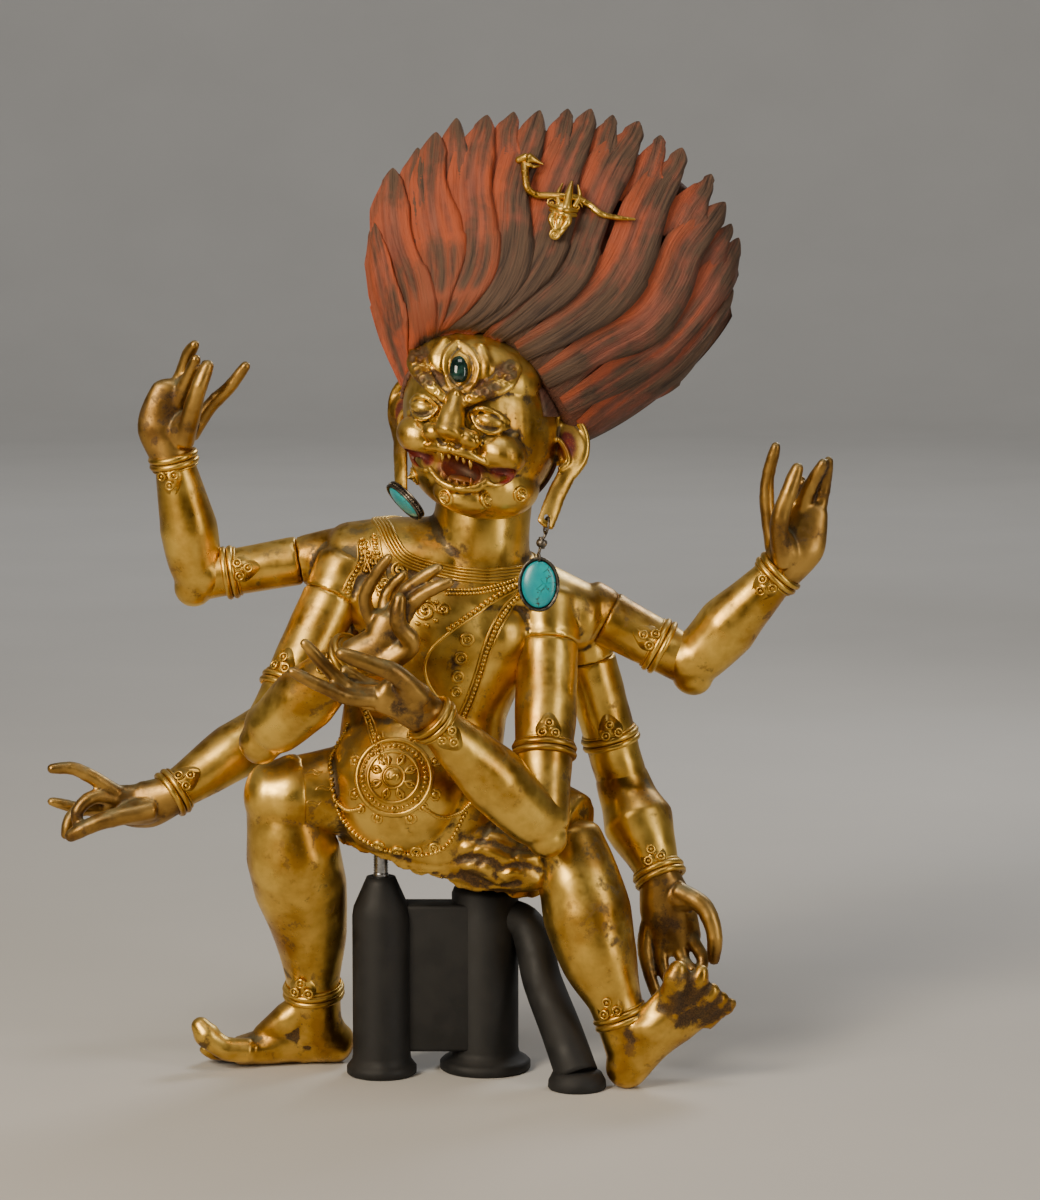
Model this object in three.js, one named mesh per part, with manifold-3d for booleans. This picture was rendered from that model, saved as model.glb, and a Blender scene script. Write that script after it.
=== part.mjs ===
import * as THREE from 'three';
import { mergeVertices } from 'three/addons/utils/BufferGeometryUtils.js';
import Module from 'manifold-3d';

const wasm = await Module();
wasm.setup();

// Driving sizes in millimetres. The floor is Z = 0 and the figure faces the viewer along -Y.
const figureHeight = 640;
const seamGap = 0.3;
const sheetWall = 3;
const hollowTop = 182;
const bandRise = 2;
const bandWidth = 9;
const plaqueWidth = 16;
const plaqueHeight = 13;
const collarWidth = 9;
const wheelDiameter = 52;
const wheelSpokeCount = 8;
const wheelRelief = 3.6;
const rimBossCount = 6;
const thirdEyeWidth = 13;
const thirdEyeHeight = 20;
const turquoiseWidth = 22;
const turquoiseHeight = 30;
const turquoiseThickness = 5;
const bezelWall = 1.6;
const wireDiameter = 2;
const earringBead = 7;
const lobeHole = 4.4;
const hairTipCount = 18;
const hairToothDepth = 15;
const hairRidge = 4;
const standPinDiameter = 10;
const standColumnDiameter = 38;
const standDrumDiameter = 44;
const standFootHeight = 6;

// The pose points are written for a figure of this height.
const poseHeight = 640;
const unit = figureHeight / poseHeight;
const at = (x, y, z) => new THREE.Vector3(x, y, z).multiplyScalar(unit);
const mix = THREE.MathUtils.lerp;
const radians = THREE.MathUtils.degToRad;

// Solids from three.js geometry
function toSolid(geometry) {
  const bare = geometry.clone();
  bare.deleteAttribute('normal');
  bare.deleteAttribute('uv');
  const merged = mergeVertices(bare);
  const corners = merged.index.array;
  const triangles = [];
  for (let i = 0; i < corners.length; i += 3) {
    const [a, b, c] = corners.slice(i, i + 3);
    if (a !== b && b !== c && c !== a) triangles.push(a, b, c);
  }
  const mesh = new wasm.Mesh({
    numProp: 3,
    vertProperties: Float32Array.from(merged.attributes.position.array),
    triVerts: Uint32Array.from(triangles),
  });
  return new wasm.Manifold(mesh);
}

const fuse = (solids) => solids.reduce((whole, solid) => whole.add(solid));
const cut = (solid, tools) => tools.reduce((rest, tool) => rest.subtract(tool), solid);

// A row's half width and half depth at a share of the route
function widthsAt(rows, share) {
  let i = rows.findIndex((row) => row[0] >= share);
  if (i < 0) i = rows.length - 1;
  const next = rows[i];
  const last = rows[Math.max(i - 1, 0)];
  const span = next[0] - last[0];
  const t = span > 0 ? (share - last[0]) / span : 1;
  const depth = (row) => row[2] ?? row[1];
  return [mix(last[1], next[1], t), mix(depth(last), depth(next), t)];
}

// A turned form bent along a route. A row is [share of the route, half width, half depth], and
// dome gives how far each end bulges, as a share of that end's half width. Thin forms end in a point.
function sweep(route, rows, { sides = 8, wide = [1, 0, 0], dome = [1, 1], grow = 0 } = {}) {
  const curve = new THREE.CatmullRomCurve3(route);
  const length = curve.getLength();
  const reach = (row) => row[1] * unit + grow;
  const start = reach(rows[0]);
  const end = reach(rows.at(-1));
  const rounded = sides > 5;
  const profile = [new THREE.Vector2(0, -dome[0] * start - grow)];
  if (dome[0] > 0 && rounded) profile.push(new THREE.Vector2(start * 0.7, -0.7 * dome[0] * start - grow));
  rows.forEach((row, i) => {
    const outward = i === 0 ? -grow : i === rows.length - 1 ? grow : 0;
    profile.push(new THREE.Vector2(reach(row), row[0] * length + outward));
  });
  if (dome[1] > 0 && rounded) profile.push(new THREE.Vector2(end * 0.7, length + 0.7 * dome[1] * end + grow));
  profile.push(new THREE.Vector2(0, length + dome[1] * end + grow));

  const geometry = new THREE.LatheGeometry(profile, sides);
  const position = geometry.attributes.position;
  const wideWay = new THREE.Vector3(...wide);
  const vertex = new THREE.Vector3();
  for (let i = 0; i < position.count; i += 1) {
    vertex.fromBufferAttribute(position, i);
    const share = THREE.MathUtils.clamp(vertex.y / length, 0, 1);
    const [width, depth] = widthsAt(rows, share);
    const flat = (depth * unit + grow) / (width * unit + grow);
    const along = curve.getTangentAt(share);
    const across = wideWay.clone().addScaledVector(along, -along.dot(wideWay)).normalize();
    const inward = new THREE.Vector3().crossVectors(across, along);
    const point = curve.getPointAt(share).addScaledVector(along, vertex.y - share * length);
    point.addScaledVector(across, vertex.x).addScaledVector(inward, vertex.z * flat);
    position.setXYZ(i, point.x, point.y, point.z);
  }
  return toSolid(geometry);
}

// An oval lump with half sizes along its own axes, turned by Euler angles in degrees
function lump(centre, half, { turn = [0, 0, 0], around = 8, rings = 4, grow = 0 } = {}) {
  const geometry = new THREE.SphereGeometry(1, around, rings);
  geometry.rotateX(Math.PI / 2);
  geometry.scale(...half.map((size) => size * unit + grow));
  const euler = new THREE.Euler(...turn.map(radians), 'ZYX');
  geometry.applyMatrix4(new THREE.Matrix4().makeRotationFromEuler(euler));
  geometry.translate(centre.x, centre.y, centre.z);
  return toSolid(geometry);
}

// A matrix that takes +Z to the way given and the origin to a point
function facing(point, way) {
  const turn = new THREE.Quaternion().setFromUnitVectors(new THREE.Vector3(0, 0, 1), way.clone().normalize());
  return new THREE.Matrix4().compose(point, turn, new THREE.Vector3(1, 1, 1));
}

function ring(centre, way, radius, thickness, { oval = 1, around = 16, sides = 5 } = {}) {
  const geometry = new THREE.TorusGeometry(radius, thickness, sides, around);
  geometry.scale(oval, 1, 1);
  geometry.applyMatrix4(facing(centre, way));
  return toSolid(geometry);
}

function bar(from, to, radius, sides = 6, tip = radius) {
  const way = to.clone().sub(from);
  const geometry = new THREE.CylinderGeometry(tip, radius, way.length(), sides);
  geometry.rotateX(Math.PI / 2);
  geometry.applyMatrix4(facing(from.clone().lerp(to, 0.5), way));
  return toSolid(geometry);
}

// Everything on one side of a plane
function beyond(point, way) {
  const size = 3 * figureHeight;
  const geometry = new THREE.BoxGeometry(size, size, size);
  geometry.translate(0, 0, size / 2);
  geometry.applyMatrix4(facing(point, way));
  return toSolid(geometry);
}

// The two sides of a seam across a solid, with the clearance between them
function partAt(solid, point, way) {
  const clear = point.clone().addScaledVector(way, seamGap);
  return [solid.subtract(beyond(point, way)), solid.subtract(beyond(clear, way.clone().negate()))];
}

function toMesh(name, solid, material, place = new THREE.Matrix4()) {
  const { vertProperties, triVerts } = solid.getMesh();
  const geometry = new THREE.BufferGeometry();
  geometry.setAttribute('position', new THREE.BufferAttribute(Float32Array.from(vertProperties), 3));
  geometry.setIndex(new THREE.BufferAttribute(Uint32Array.from(triVerts), 1));
  geometry.applyMatrix4(place.clone().invert());
  geometry.computeVertexNormals();
  const mesh = new THREE.Mesh(geometry, material);
  mesh.name = name;
  place.decompose(mesh.position, mesh.quaternion, mesh.scale);
  return mesh;
}

// Materials
const metal = (color, roughness) => new THREE.MeshStandardMaterial({ color, roughness, metalness: 1 });
const stone = (color, roughness) => new THREE.MeshStandardMaterial({ color, roughness, metalness: 0 });
const gilding = () => metal(0xc79a3e, 0.35);
const wornGilding = () => metal(0x9a7a3c, 0.45);
const paintedHair = () => stone(0x8c3a22, 0.7);
const darkSilver = () => metal(0x4a4640, 0.5);
const turquoise = () => stone(0x1fb5b8, 0.4);
const steel = () => metal(0x8d8f92, 0.35);
const darkStone = () => stone(0x16241e, 0.15);
const blackPaint = () => stone(0x0a0a0a, 0.8);

// Arms: the joints, the half widths along each length, the share of the upper arm that belongs to
// the shoulder, and how far along the upper arm its ring sits
const arms = {
  raised_right: {
    shoulder: at(-76, 16, 343), elbow: at(-174, 14, 326), wrist: at(-190, 2, 408),
    upper: [17, 15.5, 15], fore: [18, 19, 13.5], seam: 0.34, armlet: 0.8, front: [-0.3, -1, 0.1],
  },
  main_right: {
    shoulder: at(-77, -4, 336), elbow: at(-126, -46, 234), wrist: at(-69, -82, 289),
    upper: [20, 18, 17], fore: [20, 21.5, 14], seam: 0.2, armlet: 0.74, front: [-0.5, -0.8, 0.2],
  },
  low_right: {
    shoulder: at(-60, 28, 322), elbow: at(-128, 40, 225), wrist: at(-196, 12, 182),
    upper: [18, 17, 16], fore: [18.5, 19.5, 14], seam: 0.32, armlet: 0.74, front: [-0.2, -1, 0.2],
  },
  raised_left: {
    shoulder: at(78, 16, 307), elbow: at(147, 12, 270), wrist: at(205, 0, 333),
    upper: [19, 17, 16], fore: [19, 20.5, 14], seam: 0.2, armlet: 0.7, front: [0, -1, 0.2],
  },
  main_left: {
    shoulder: at(54, 4, 313), elbow: at(49, -60, 176), wrist: at(-22, -100, 252),
    upper: [20.5, 19.5, 17.5], fore: [19.5, 21.5, 14], seam: 0.2, armlet: 0.68, front: [0.1, -1, 0],
  },
  low_left: {
    shoulder: at(72, 28, 300), elbow: at(104, 36, 184), wrist: at(128, 6, 127),
    upper: [18, 17.5, 17], fore: [19.5, 24, 15], seam: 0.26, armlet: 0.72, front: [0.1, -1, 0],
  },
};

const wayBetween = (from, to) => to.clone().sub(from).normalize();

// Rows for a ring that stands out from a limb around a share of its length
function bandRows(centre, length, radius) {
  const half = bandWidth / 2 / length;
  return [[centre - half, radius / unit], [centre, (radius + bandRise) / unit], [centre + half, radius / unit]];
}

// The raised plaque on the front of an arm ring or anklet
function plaque(point, along, front, radius) {
  const out = new THREE.Vector3(...front);
  out.addScaledVector(along, -along.dot(out)).normalize();
  const centre = point.clone().addScaledVector(out, radius);
  const shape = new THREE.Shape();
  shape.moveTo(-plaqueWidth / 2, -plaqueHeight * 0.4);
  shape.lineTo(plaqueWidth / 2, -plaqueHeight * 0.4);
  shape.lineTo(plaqueWidth * 0.3, plaqueHeight * 0.3);
  shape.lineTo(0, plaqueHeight * 0.6);
  shape.lineTo(-plaqueWidth * 0.3, plaqueHeight * 0.3);
  const depth = bandRise + radius * 0.4;
  const geometry = new THREE.ExtrudeGeometry(shape, { depth, bevelEnabled: false });
  geometry.translate(0, 0, bandRise + 1 - depth);
  const side = new THREE.Vector3().crossVectors(along, out);
  const turn = new THREE.Matrix4().makeBasis(side, along, out).setPosition(centre);
  return toSolid(geometry.applyMatrix4(turn));
}

function upperArm(arm, grow = 0) {
  const [top, middle, end] = arm.upper;
  const length = arm.shoulder.distanceTo(arm.elbow);
  const rows = [[0, top], [0.4, middle], ...bandRows(arm.armlet, length, end * unit), [1, end]];
  return sweep([arm.shoulder, arm.elbow], rows, { sides: 7, wide: [0, 1, 0.3], dome: [0, 0], grow });
}

function forearm(arm, grow = 0) {
  const [elbow, middle, wrist] = arm.fore;
  const length = arm.elbow.distanceTo(arm.wrist);
  const ringAt = 1 - bandWidth / length;
  const outer = wrist + bandRise / unit;
  const rows = [[0, elbow], [0.34, middle], [ringAt, wrist], [mix(ringAt, 1, 0.4), outer], [1, outer]];
  return sweep([arm.elbow, arm.wrist], rows, { sides: 7, wide: [0, 1, 0.3], dome: [0.9, 0], grow });
}

function armlet(arm) {
  const point = arm.shoulder.clone().lerp(arm.elbow, arm.armlet);
  return plaque(point, wayBetween(arm.elbow, arm.shoulder), arm.front, arm.upper[2] * unit);
}

function bracelet(arm) {
  const length = arm.elbow.distanceTo(arm.wrist);
  const point = arm.wrist.clone().lerp(arm.elbow, bandWidth / length);
  return plaque(point, wayBetween(arm.wrist, arm.elbow), arm.front, arm.fore[2] * unit);
}

// Hands: the palm and fingers as points from the wrist, in the gesture that holds small things
const hands = {
  raised_right: {
    wide: [1, 0.2, 0.1], palm: [[0, 0, -3], [-4, 0, 20], [1, -2, 40]], size: [[13, 12], [19, 11], [14, 6]],
    thumb: [[8, -6, 8], [15, -17, 31], [20, -21, 46], [25, -20, 58]],
    index: [[12, 2, 12], [24, 2, 30], [38, -2, 44], [48, -6, 57]],
    middle: [[0, 0, 38], [7, 0, 52], [11, -4, 64], [16, -10, 71]],
    ring: [[4, -4, 34], [12, -10, 50], [17, -16, 62]],
    little: [[8, 2, 32], [17, 2, 46], [22, 0, 58]],
  },
  main_right: {
    wide: [0.6, 0, -0.75], palm: [[0, 0, -2], [16, -4, 5], [23, -6, 20]], size: [[12.5, 11], [14.5, 9], [12, 6]],
    thumb: [[20, -8, -6], [36, -14, 8], [28, -20, 22], [29, -22, 37]],
    index: [[22, -4, 20], [32, -10, 40], [42, -14, 49], [53, -16, 56]],
    middle: [[27, -8, 16], [38, -16, 35], [49, -20, 43], [60, -22, 48]],
    ring: [[18, 0, 20], [21, 2, 38], [31, -2, 50]],
    little: [[12, -2, 18], [7, -4, 36], [14, -8, 51], [22, -12, 62]],
  },
  low_right: {
    wide: [0.1, -0.3, 1], palm: [[4, 0, 1], [-18, 3, -7], [-38, -2, -4]], size: [[13, 12], [17, 11], [12, 7]],
    thumb: [[-10, -8, -8], [-36, -18, -12], [-51, -21, -17], [-62, -20, -23]],
    index: [[-34, -5, 3], [-51, -10, 15], [-61, -12, 20], [-74, -18, 21]],
    middle: [[-34, -5, -2], [-48, -12, 1], [-58, -17, -7], [-58, -17, -17]],
    ring: [[-34, 0, -10], [-55, -4, -8], [-64, -8, -14], [-67, -10, -24]],
    little: [[-36, 4, -12], [-60, 4, -9], [-77, 0, -4]],
  },
  raised_left: {
    wide: [1, -0.1, -0.2], palm: [[0, 0, -3], [10, 0, 18], [14, -1, 38]], size: [[13, 12], [19, 11], [16, 6]],
    thumb: [[0, -8, 4], [-3, -16, 32], [2, -19, 50], [8, -19, 67]],
    index: [[-6, 2, 14], [-10, 2, 48], [-9, 0, 63], [-5, -4, 80]],
    middle: [[12, -2, 34], [16, -6, 52], [25, -13, 70]],
    ring: [[22, 0, 30], [27, -2, 56], [29, -8, 71]],
    little: [[6, 3, 34], [9, 4, 48], [12, 0, 58]],
  },
  main_left: {
    wide: [0.5, 0, 0.85], palm: [[3, 2, -3], [-12, -5, 9], [-27, -9, 15]], size: [[12.5, 11], [14.5, 9], [11, 6]],
    thumb: [[-4, -10, 12], [-20, -21, 30], [-34, -24, 36], [-53, -26, 43]],
    index: [[-22, -10, 13], [-48, -17, 14], [-64, -20, 21], [-84, -20, 31]],
    middle: [[-22, -6, 16], [-48, -12, 19], [-62, -14, 32], [-76, -16, 48]],
    ring: [[-18, -3, 14], [-38, -3, 20], [-52, -6, 30]],
    little: [[-18, 0, 8], [-38, 0, 8], [-52, -2, 14]],
  },
  low_left: {
    wide: [1, 0.1, 0], palm: [[0, 0, 3], [4, -1, -18], [10, -2, -40]], size: [[13, 12], [19, 10], [17, 6]],
    thumb: [[10, -7, -6], [27, -14, -15], [34, -18, -32], [34, -18, -49]],
    index: [[-6, -1, -20], [-11, -4, -41], [-9, -6, -57], [-3, -9, -77]],
    middle: [[0, -3, -36], [0, -5, -52], [3, -11, -64]],
    ring: [[11, -2, -38], [15, -7, -54], [20, -15, -57]],
    little: [[19, -3, -38], [27, -7, -51], [26, -13, -60]],
  },
};

function finger(wrist, points, thick) {
  const route = points.map((point) => at(...point).add(wrist));
  const rows = [[0, thick * 1.1], [0.5, thick], [1, thick * 0.8]];
  return sweep(route, rows, { sides: 4, wide: [0.3, 1, 0.2], dome: [0, 0.8] });
}

function hand(pose, wrist) {
  const palm = pose.palm.map((point) => at(...point).add(wrist));
  const rows = pose.size.map(([width, depth], i) => [i / 2, width, depth]);
  const forms = [sweep(palm, rows, { sides: 6, wide: pose.wide, dome: [0, 0.5] })];
  forms.push(finger(wrist, pose.thumb, 7));
  for (const name of ['index', 'middle', 'ring', 'little']) forms.push(finger(wrist, pose[name], 5.4));
  return fuse(forms);
}

// Torso
const pelvisRoute = [at(-14, 8, 100), at(-18, 5, 148), at(-32, -2, 198)];
const pelvisRows = [[0, 66, 40], [0.5, 70, 44], [1, 54, 46]];
const pelvis = (grow) => sweep(pelvisRoute, pelvisRows, { sides: 10, dome: [0, 0], grow });

function trunk(grow = 0) {
  const spine = [at(-32, 0, 190), at(-27, 0, 240), at(-16, 3, 292), at(-6, 8, 322)];
  const chest = sweep(spine, [[0, 54, 46], [0.4, 53, 40], [0.78, 64, 42], [1, 54, 34]], { sides: 10, dome: [0, 0], grow });
  const yokeRoute = [at(-76, 10, 340), at(-40, 8, 342), at(8, 8, 332), at(44, 11, 314), at(74, 14, 300)];
  const yoke = sweep(yokeRoute, [[0, 23, 26], [0.4, 26, 34], [1, 23, 25]], { wide: [0, 0, 1], dome: [0.7, 0.7], grow });
  const neckRoute = [at(5, 8, 322), at(9, 3, 350), at(12, 2, 384)];
  const neck = sweep(neckRoute, [[0, 46, 38], [0.42, 33, 32], [1, 31, 31]], { sides: 10, dome: [0, 0], grow });
  const belly = lump(bellyCentre, bellyHalf, { around: 11, rings: 6, grow });
  return fuse([pelvis(grow), chest, yoke, neck, belly]);
}

const neckSocket = () => {
  const route = [at(8, 4, 340), at(9, 3, 350), at(12, 2, 384)];
  return sweep(route, [[0, 34, 33], [0.25, 33, 32], [1, 31, 31]], { sides: 10, dome: [0, 0], grow: seamGap });
};

// The broken lower edge of the pelvis: the outline steps up and down along a slope
function brokenEdge() {
  const from = at(-84, 0, 157);
  const to = at(58, 0, 115);
  const steps = 10;
  const floor = at(0, 0, 60).z;
  const outline = new THREE.Shape();
  outline.moveTo(from.x - 60 * unit, floor);
  outline.lineTo(from.x - 60 * unit, from.z);
  for (let i = 0; i <= steps; i += 1) {
    const jag = (i % 2 ? 2.4 : -1.6) * Math.cos(i * 1.7);
    outline.lineTo(mix(from.x, to.x, i / steps), mix(from.z, to.z, i / steps) + jag * unit);
  }
  outline.lineTo(to.x + 60 * unit, to.z);
  outline.lineTo(to.x + 60 * unit, floor);
  const geometry = new THREE.ExtrudeGeometry(outline, { depth: figureHeight / 2, bevelEnabled: false });
  geometry.translate(0, 0, -figureHeight / 4);
  return toSolid(geometry.rotateX(Math.PI / 2));
}

const pelvisHollow = () => pelvis(-sheetWall).subtract(beyond(at(0, 0, hollowTop), new THREE.Vector3(0, 0, 1)));

// The belly is a round lump; the wheel and the bosses sit on its front
const bellyCentre = at(-42, -14, 196);
const bellyHalf = [48, 48, 50];
const wheelWay = new THREE.Vector3(-0.08, -0.97, 0.23).normalize();

// A point on the belly, at a distance and a clock angle from the middle of the wheel
function onBelly(distance, angle) {
  const lean = Math.asin(distance / (bellyHalf[0] * unit));
  const aside = new THREE.Vector3(Math.cos(angle), Math.sin(angle), 0).multiplyScalar(Math.sin(lean));
  const way = aside.setZ(Math.cos(lean)).applyMatrix4(facing(at(0, 0, 0), wheelWay));
  return way.multiply(at(...bellyHalf.map((half) => half - 1))).add(bellyCentre);
}

function bellyWheel() {
  const radius = wheelDiameter / 2;
  const relief = wheelRelief / 2;
  const middle = onBelly(radius, 0).lerp(onBelly(radius, Math.PI), 0.5);
  const forms = [ring(middle, wheelWay, radius, relief, { around: 12, sides: 3 })];
  forms.push(lump(onBelly(0, 0), [6.5, 3.6, 6.5], { around: 6, rings: 3 }));
  for (let i = 0; i < wheelSpokeCount; i += 1) {
    const angle = (i + 0.5) * 2 * Math.PI / wheelSpokeCount;
    forms.push(bar(onBelly(radius * 0.32, angle), onBelly(radius * 0.88, angle), relief, 3));
  }
  return fuse(forms);
}

// Bosses in a row along the lower edge of the belly
function bellyBosses() {
  const bosses = [];
  const out = 0.86;
  for (let i = 0; i < rimBossCount; i += 1) {
    const angle = radians(mix(205, 335, i / (rimBossCount - 1)));
    const way = at(out * Math.cos(angle) * bellyHalf[0], -Math.sqrt(1 - out * out) * bellyHalf[1], out * Math.sin(angle) * bellyHalf[2]);
    bosses.push(lump(bellyCentre.clone().add(way), [5.4, 5.4, 5.4], { around: 4, rings: 2 }));
  }
  return fuse(bosses);
}

function collar() {
  const route = [at(6, 40, 356), at(-34, 34, 362), at(-55, 8, 365), at(-34, -20, 350), at(3, -29, 333), at(36, -18, 331),
    at(51, 8, 339), at(38, 32, 345), at(6, 40, 356)];
  const rows = route.map((point, i) => [i / (route.length - 1), collarWidth / 2]);
  return sweep(route, rows, { sides: 3, wide: [0, 0, -1], dome: [0, 0] });
}

// The jewelled strand that crosses the chest from the left shoulder to the waist
function chestStrand() {
  const route = [at(36, -20, 330), at(16, -33, 306), at(3, -38, 280), at(-4, -38, 248), at(-8, -39, 228)];
  return sweep(route, [0, 0.25, 0.5, 0.75, 1].map((share) => [share, 3.6]), { sides: 4, dome: [0, 0] });
}

// The beaded band over the right shoulder and down the side of the chest
function shoulderBand(grow = 0) {
  const route = [at(-62, 6, 364), at(-70, -14, 345), at(-74, -22, 320), at(-70, -19, 292), at(-66, -24, 266)];
  return sweep(route, [0, 0.25, 0.5, 0.75, 1].map((share) => [share, 4.5, 3]), { sides: 4, dome: [0, 0], grow });
}

// Gathered cloth between the belly and the left thigh
function clothFolds() {
  const folds = [
    [at(0, -38, 168), at(22, -35, 152), at(46, -29, 144)],
    [at(-12, -39, 148), at(14, -35, 137), at(44, -20, 129)],
  ];
  return fuse(folds.map((route) => sweep(route, [[0, 4], [0.5, 7.5], [1, 5]], { sides: 5, dome: [0, 0] })));
}

const rightThigh = () => sweep([at(-40, 2, 190), at(-80, -10, 189), at(-112, -18, 187)],
  [[0, 34], [0.5, 29], [1, 26]], { sides: 8, wide: [0, 1, 0], dome: [0, 0] });
const leftThigh = () => sweep([at(16, 10, 168), at(46, -4, 167), at(72, -16, 162)],
  [[0, 36], [0.6, 30], [1, 25]], { sides: 8, wide: [0, 1, 0], dome: [0, 0] });

// Legs
function rightLeg(grow = 0) {
  const knee = sweep([at(-112, -18, 187), at(-126, -20, 187)], [[0, 27], [1, 24]],
    { sides: 8, wide: [0, 1, 0], dome: [0, 0.75], grow });
  const route = [at(-117, -18, 178), at(-112, -14, 150), at(-109, -6, 128), at(-103, 8, 88), at(-102, 18, 50), at(-101, 21, 24)];
  const ringRow = bandRows(0.76, 160 * unit, 18 * unit);
  const rows = [[0, 25], [0.18, 31], [0.34, 30.5], [0.58, 24], ...ringRow, [1, 18]];
  const shin = sweep(route, rows, { sides: 8, wide: [1, 0, 0], dome: [0.5, 0], grow });
  return fuse([knee, shin]);
}

function leftLeg(grow = 0) {
  const route = [at(66, -16, 158), at(72, -22, 138), at(78, -27, 114), at(86, -32, 84), at(97, -37, 55), at(104, -40, 32)];
  const ringRow = bandRows(0.84, 136 * unit, 16 * unit);
  const rows = [[0, 22], [0.18, 26], [0.36, 29], [0.58, 26], [0.76, 18], ...ringRow, [1, 15.5]];
  return sweep(route, rows, { sides: 8, wide: [1, 0, 0], dome: [0.4, 0], grow });
}

function toe(points, thick) {
  const route = points.map((point) => at(...point));
  return sweep(route, [[0, thick], [0.6, thick], [1, thick * 0.8]], { sides: 4, wide: [0, 1, 0.6], dome: [0, 0.7] });
}

function rightFoot() {
  const body = sweep([at(-86, 24, 12), at(-110, 23, 16), at(-132, 21, 11), at(-152, 20, 8)],
    [[0, 14, 14], [0.35, 16, 18], [0.7, 18, 12], [1, 19, 9]], { sides: 8, wide: [0, 1, 0], dome: [0.8, 0.3] });
  const toes = [toe([[-146, 6, 12], [-160, 4, 15], [-172, 4, 24], [-177, 5, 30]], 8)];
  for (let i = 0; i < 4; i += 1) {
    toes.push(toe([[-146, 16 + 7 * i, 9], [-162 + 2 * i, 17 + 7 * i, 7], [-176 + 4 * i, 18 + 7 * i, 10]], 5));
  }
  return fuse([body, ...toes]);
}

function leftFoot() {
  const body = sweep([at(104, -42, 10), at(116, -43, 29), at(130, -45, 44), at(144, -46, 58)],
    [[0, 14, 14], [0.35, 17, 15], [0.7, 21, 12], [1, 23, 8]],
    { sides: 8, wide: [0.75, 0.35, -0.5], dome: [0.9, 0.3] });
  const toes = [toe([[132, -50, 52], [133, -55, 70], [137, -57, 82]], 8)];
  const tips = [[152, -55, 80], [160, -52, 67], [166, -48, 61], [172, -44, 56]];
  tips.forEach((tip, i) => {
    const root = [142 + 5 * i, -47 + 2.6 * i, 54 - 4 * i];
    const knuckle = root.map((value, axis) => mix(value, tip[axis], 0.55) + [1.5, -2.5, 2][axis]);
    toes.push(toe([root, knuckle, tip], 5.6));
  });
  return fuse([body, ...toes]);
}

const floorCut = () => beyond(at(0, 0, 0), new THREE.Vector3(0, 0, -1));

// Head, in its own frame: it faces -Y and its middle is the origin
const headRoll = 10;
const headYaw = -18;
const headFrame = new THREE.Matrix4().makeRotationFromEuler(new THREE.Euler(0, radians(headRoll), radians(headYaw), 'YXZ'));
headFrame.setPosition(at(10, -8, 425));
const faceLean = 0.17;
const face = (x, y, z) => at(x - faceLean * z, y, z).applyMatrix4(headFrame);
const headTurn = [0, headRoll, headYaw];
const headWay = (x, y, z) => new THREE.Vector3(x, y, z).transformDirection(headFrame);
const faceLump = (x, y, z, half, more) => lump(face(x, y, z), half, { turn: headTurn, ...more });

const skull = (grow = 0) => lump(at(0, 0, 6).applyMatrix4(headFrame), [51, 54, 56], { turn: headTurn, around: 10, rings: 6, grow });
const forehead = (grow = 0) => faceLump(0, -14, 36, [45, 34, 27], { around: 8, rings: 5, grow });

const jaw = (grow = 0) => faceLump(0, -10, -30, [42, 38, 27], { around: 8, rings: 5, grow });

const lobeEnd = (side) => face(side * 50, -14, -46);
const earWide = (side) => headWay(side * 0.85, 0.5, 0);
const earThin = (side) => headWay(side * -0.5, 0.85, 0);

function mirrored(make) {
  return fuse([make(-1), make(1)]);
}

function brow(side, grow = 0) {
  const route = [face(side * 4, -52, 23), face(side * 18, -52, 28), face(side * 29, -43, 37), face(side * 33, -34, 46)];
  return sweep(route, [[0, 3.4], [0.5, 5], [1, 4]], { sides: 4, dome: [0, 0], grow });
}

function lips() {
  const upper = [face(-33, -37, -14), face(-16, -51, -12), face(0, -57, -11), face(16, -51, -12), face(33, -37, -14)];
  const lower = [face(-33, -37, -15), face(-20, -46, -30), face(0, -52, -34), face(20, -46, -30), face(33, -37, -15)];
  const shape = [[0, 2.5], [0.25, 4], [0.5, 4.4], [0.75, 4], [1, 2.5]];
  return fuse([upper, lower].map((route) => sweep(route, shape, { sides: 4, dome: [0, 0] })));
}

function beardCurls() {
  const places = [[-32, -30, -36], [-14, -42, -42], [13, -42, -43], [32, -30, -37]];
  return fuse(places.map(([x, y, z]) => faceLump(x, y, z, [5.2, 6, 5.2], { around: 4, rings: 2 })));
}

function ear(side, grow = 0) {
  const route = [face(side * 50, 12, 15), face(side * 60, 11, 4), face(side * 59, 7, -12), face(side * 54, -4, -30), lobeEnd(side)];
  const rows = [[0, 5, 2.5], [0.16, 11, 4], [0.34, 11, 4], [0.5, 6, 3], [1, 5.5, 2.4]];
  const wide = earWide(side).toArray();
  const shell = sweep(route, rows, { sides: 6, wide, dome: [0, 0], grow });
  return shell.add(faceLump(side * 48, 12, -2, [9, 7, 13], { around: 5, rings: 4, grow }));
}

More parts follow.
